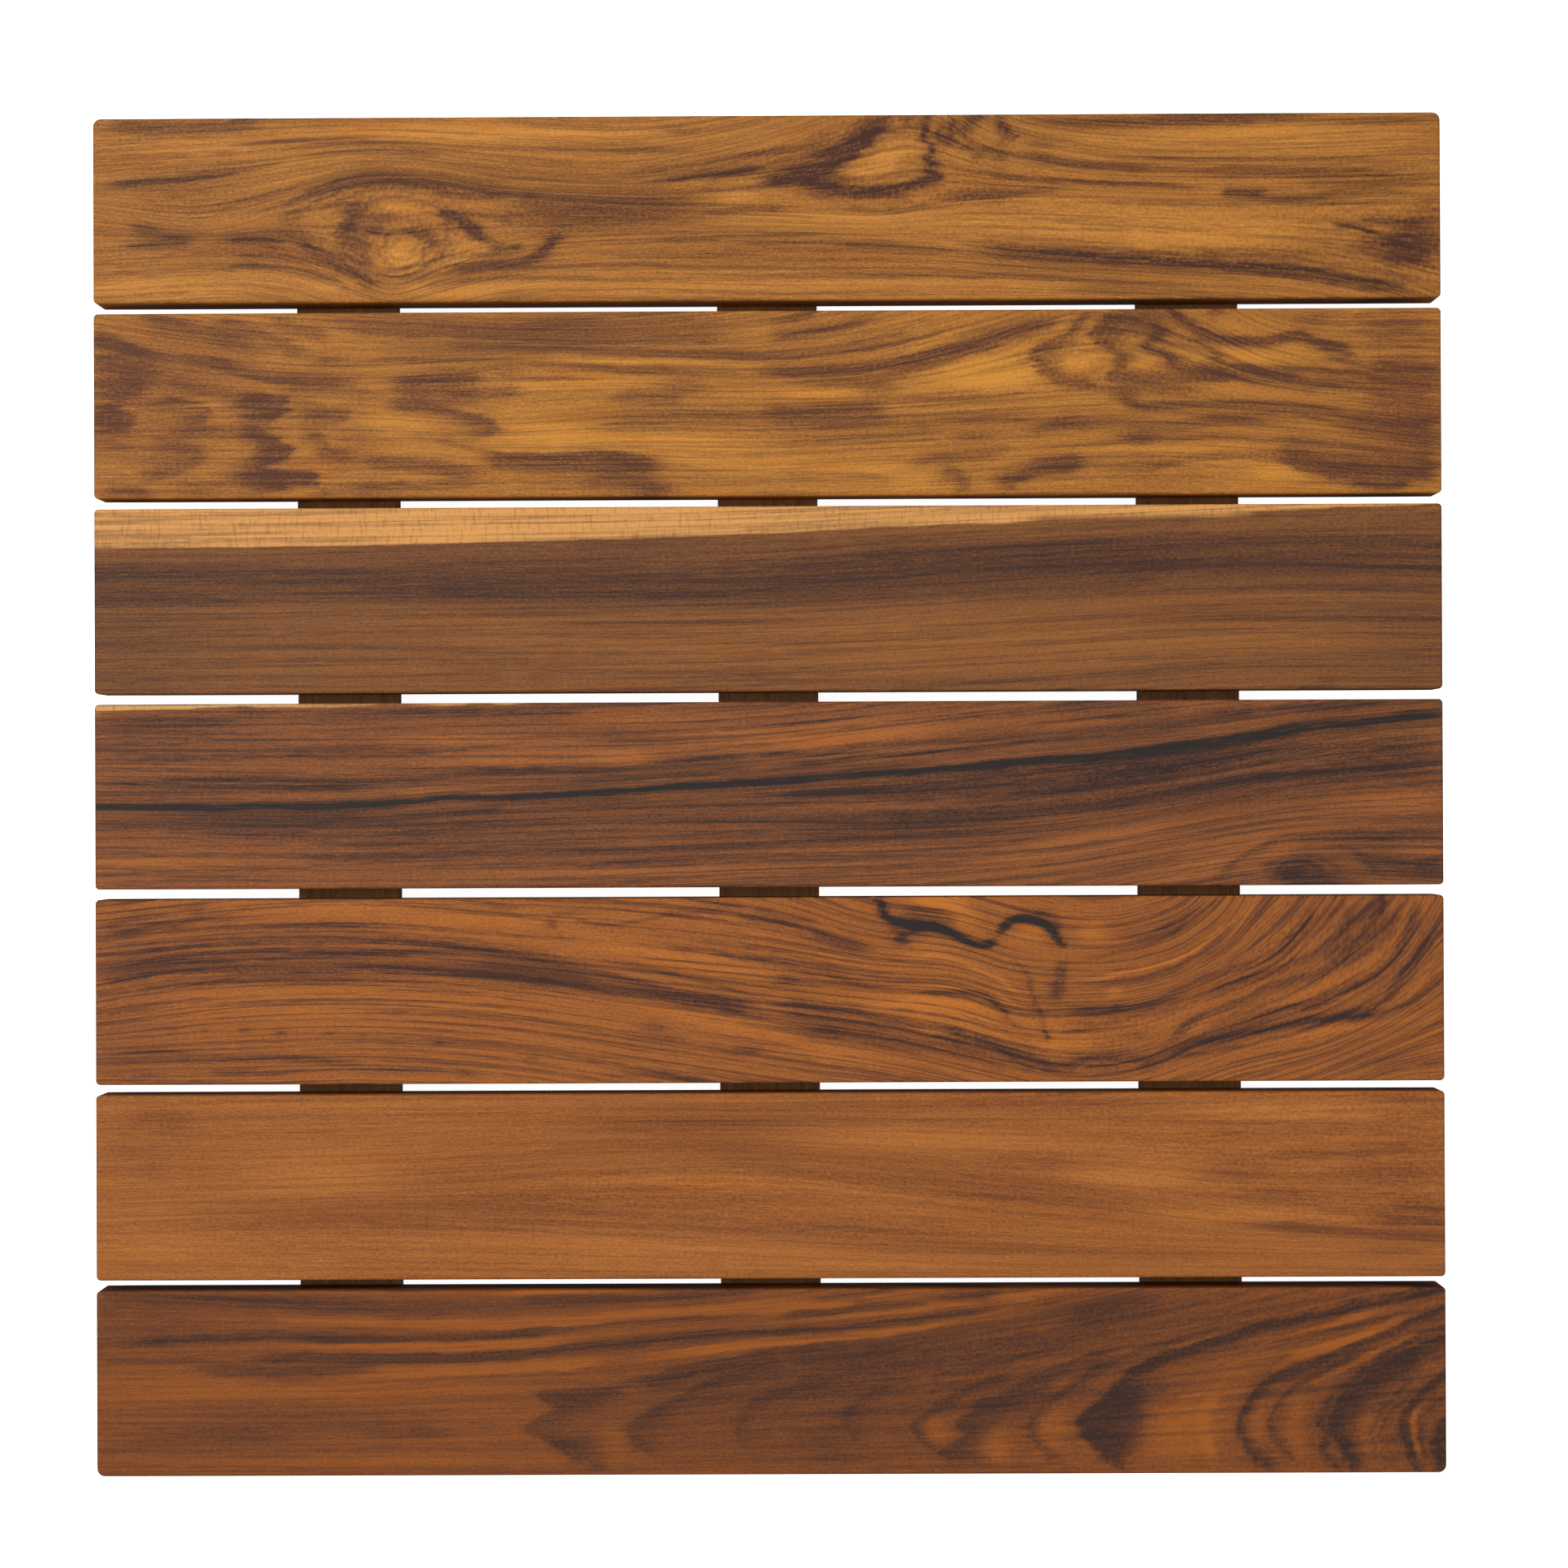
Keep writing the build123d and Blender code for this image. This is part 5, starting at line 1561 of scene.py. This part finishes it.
FINISH_1 = WoodFinish(srgb(191, 125, 50), srgb(127, 74, 29), srgb(70, 38, 26), marks=0.9)
FINISH_2 = WoodFinish(srgb(194, 128, 48), srgb(135, 80, 35), srgb(84, 47, 30))
FINISH_3 = WoodFinish(
    srgb(145, 90, 42), srgb(94, 56, 34), srgb(60, 37, 30), sap=srgb(221, 157, 86), lines=0.45, marks=0.6
)
FINISH_4 = WoodFinish(
    srgb(154, 90, 42), srgb(92, 54, 35), srgb(52, 36, 31), black=BLACK, lines=0.6, marks=0.7
)
FINISH_5 = WoodFinish(
    srgb(176, 102, 38), srgb(118, 66, 34), srgb(66, 38, 29),
    black=BLACK, lines=0.7, streaks=0.1, rings=0.15,
)
FINISH_6 = WoodFinish(
    srgb(176, 106, 46), srgb(120, 64, 26), srgb(88, 48, 28), lines=0.2, streaks=0.2, rings=0.1
)
FINISH_7 = WoodFinish(srgb(146, 80, 27), srgb(98, 54, 29), srgb(56, 35, 27), lines=0.3)


def slats() -> tuple[Slat, ...]:
    """The seven boards, back to front, the outermost two with the mat's own rounder corners.

    Returns:
        The boards.
    """
    return (
        Slat("slat_1", FIGURE_1, FINISH_1, corner=(0.0016, 0.003)),
        Slat("slat_2", FIGURE_2, FINISH_2),
        Slat("slat_3", FIGURE_3, FINISH_3),
        Slat("slat_4", FIGURE_4, FINISH_4),
        Slat("slat_5", FIGURE_5, FINISH_5),
        Slat("slat_6", FIGURE_6, FINISH_6),
        Slat("slat_7", FIGURE_7, FINISH_7, corner=(0.003, 0.0016)),
    )


@dataclass
class Battens:
    """The three bearers under the slats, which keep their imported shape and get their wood."""

    finish: WoodFinish
    nodes: tuple[str, ...] = ("batten_left", "batten_centre", "batten_right")

    def dress(self) -> None:
        """Give each batten the teak, its grain along Y."""
        wood = self.finish.material("teak_batten", Grain.ALONG_Y)
        for node in self.nodes:
            dress(node, wood)


@dataclass(frozen=True)
class SteelFinish:
    """Stainless steel of the screws."""

    colour: Colour = srgb(176, 176, 172)
    tarnish: Colour = srgb(120, 118, 112)

    def material(self) -> bpy.types.Material:
        """Make brushed steel: even colour, roughness and bump that vary in fine clouds.

        Returns:
            The material.
        """
        graph = Graph("stainless_steel")
        place = graph.place()
        cloud = Layer(900, 900, 900, detail=3.0, roughness=0.6).read(graph, place)
        turned = Layer(150, 150, 9000, detail=1.0).read(graph, place)
        return graph.principled(
            Base_Color=graph.mix(cloud.band(0.35, 0.75) * 0.35, self.colour, self.tarnish),
            Metallic=1.0,
            Roughness=0.26 + cloud * 0.2,
            Normal=graph.bump(turned, 0.00004, 0.5),
        )


@dataclass(frozen=True)
class RubberFinish:
    """Moulded rubber of the feet."""

    colour: Colour = srgb(38, 38, 39)
    dusty: Colour = srgb(86, 82, 77)

    def material(self) -> bpy.types.Material:
        """Make matt rubber with a fine moulded grain and a little dust in soft clouds.

        Returns:
            The material.
        """
        graph = Graph("foot_rubber")
        place = graph.place()
        grain = Layer(3200, 3200, 3200, roughness=0.6).read(graph, place)
        dust = Layer(160, 160, 160, detail=3.0, roughness=0.65).read(graph, place).band(0.45, 0.75)
        return graph.principled(
            Base_Color=graph.mix(dust * 0.5, self.colour, self.dusty),
            Roughness=0.72 + grain * 0.2,
            Normal=graph.bump(grain, 0.0001, 0.5),
        )


def dress(node: str, material: bpy.types.Material) -> None:
    """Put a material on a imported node.

    Args:
        node: The node's name.
        material: What every one of its slots gets.
    """
    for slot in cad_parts[node].material_slots:
        slot.material = material
    log.info("%s: %s", node, material.name)


@dataclass
class Studio:
    """The pale floor, the soft light and the camera.

    Places are in metres and the camera's tilt in degrees. The sky's strength rises from ground to
    sky where the height of the direction goes from one end of dusk to the other.
    """

    camera_place: tuple[float, float, float] = (0.0141, -0.0028, 1.4356)
    camera_tilt: tuple[float, float, float] = (0.273, 0.336, -0.236)
    lens: float = 85.35
    floor_size: float = 60.0
    sky: float = 0.75
    ground: float = 0.08
    dusk: tuple[float, float] = (-0.1, 0.25)
    key: float = 14.0
    key_size: float = 1.2
    key_place: tuple[float, float, float] = (-0.9, 0.7, 1.6)

    def build(self) -> None:
        """Set up everything that isn't the mat."""
        self.floor()
        self.light()
        self.camera()

    def floor(self) -> None:
        """Lay a pale floor that glows, as a light table does, but throws no light back on the mat."""
        half = self.floor_size / 2
        corners = [(-half, -half, 0), (half, -half, 0), (half, half, 0), (-half, half, 0)]
        mesh = bpy.data.meshes.new("floor")
        mesh.from_pydata(corners, [], [(0, 1, 2, 3)])
        floor = bpy.data.objects.new("floor", mesh)
        bpy.context.collection.objects.link(floor)
        graph = Graph("floor_white")
        white = (0.85, 0.85, 0.85)
        mesh.materials.append(
            graph.principled(Base_Color=white, Roughness=0.9, Emission_Color=white, Emission_Strength=1.1)
        )
        floor.visible_diffuse = False
        floor.visible_glossy = False

    def light(self) -> None:
        """Light the mat by a white sky, dim below the horizon, and a broad lamp at its back left."""
        world = bpy.data.worlds.new("sky")
        world.use_nodes = True
        tree = world.node_tree
        direction = tree.nodes.new("ShaderNodeTexCoord")
        parts = tree.nodes.new("ShaderNodeSeparateXYZ")
        rise = tree.nodes.new("ShaderNodeMapRange")
        low, high = self.dusk
        limits = {"From Min": low, "From Max": high, "To Min": self.ground, "To Max": self.sky}
        for name, value in limits.items():
            rise.inputs[name].default_value = value
        tree.links.new(direction.outputs["Generated"], parts.inputs[0])
        tree.links.new(parts.outputs["Z"], rise.inputs["Value"])
        tree.links.new(rise.outputs[0], tree.nodes["Background"].inputs["Strength"])
        tree.nodes["Background"].inputs["Color"].default_value = (1.0, 1.0, 1.0, 1.0)
        bpy.context.scene.world = world
        lamp = bpy.data.lights.new("key", "AREA")
        lamp.size = self.key_size
        lamp.energy = self.key
        key = bpy.data.objects.new("key", lamp)
        place = Vector(self.key_place)
        aim = place.to_track_quat("Z", "Y").to_matrix().to_4x4()
        key.matrix_world = Matrix.Translation(place) @ aim
        bpy.context.collection.objects.link(key)

    def camera(self) -> None:
        """Hang the camera over the mat, looking almost straight down with +Y up the picture."""
        data = bpy.data.cameras.new("camera")
        data.lens = self.lens
        data.sensor_width = 36
        data.clip_start = 0.05
        camera = bpy.data.objects.new("camera", data)
        camera.location = self.camera_place
        camera.rotation_euler = tuple(map(math.radians, self.camera_tilt))
        bpy.context.collection.objects.link(camera)
        bpy.context.scene.camera = camera
        bpy.context.scene.view_settings.view_transform = "Standard"


@dataclass
class BathMat:
    """The whole mat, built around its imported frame."""

    slats: tuple[Slat, ...]
    battens: Battens
    steel: SteelFinish = SteelFinish()
    rubber: RubberFinish = RubberFinish()

    def build(self) -> None:
        """Build the slats, and dress the battens, screws and feet."""
        for slat in self.slats:
            slat.build()
        self.battens.dress()
        steel, rubber = self.steel.material(), self.rubber.material()
        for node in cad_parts:
            if "screws" in node:
                dress(node, steel)
            elif node.startswith("foot_"):
                dress(node, rubber)


def main() -> None:
    """Build the studio and the mat."""
    logging.basicConfig(level=logging.INFO, format="%(name)s %(message)s", force=True)
    Studio().build()
    BathMat(slats=slats(), battens=Battens(BATTEN_TEAK)).build()


if __name__ == "__main__":
    main()
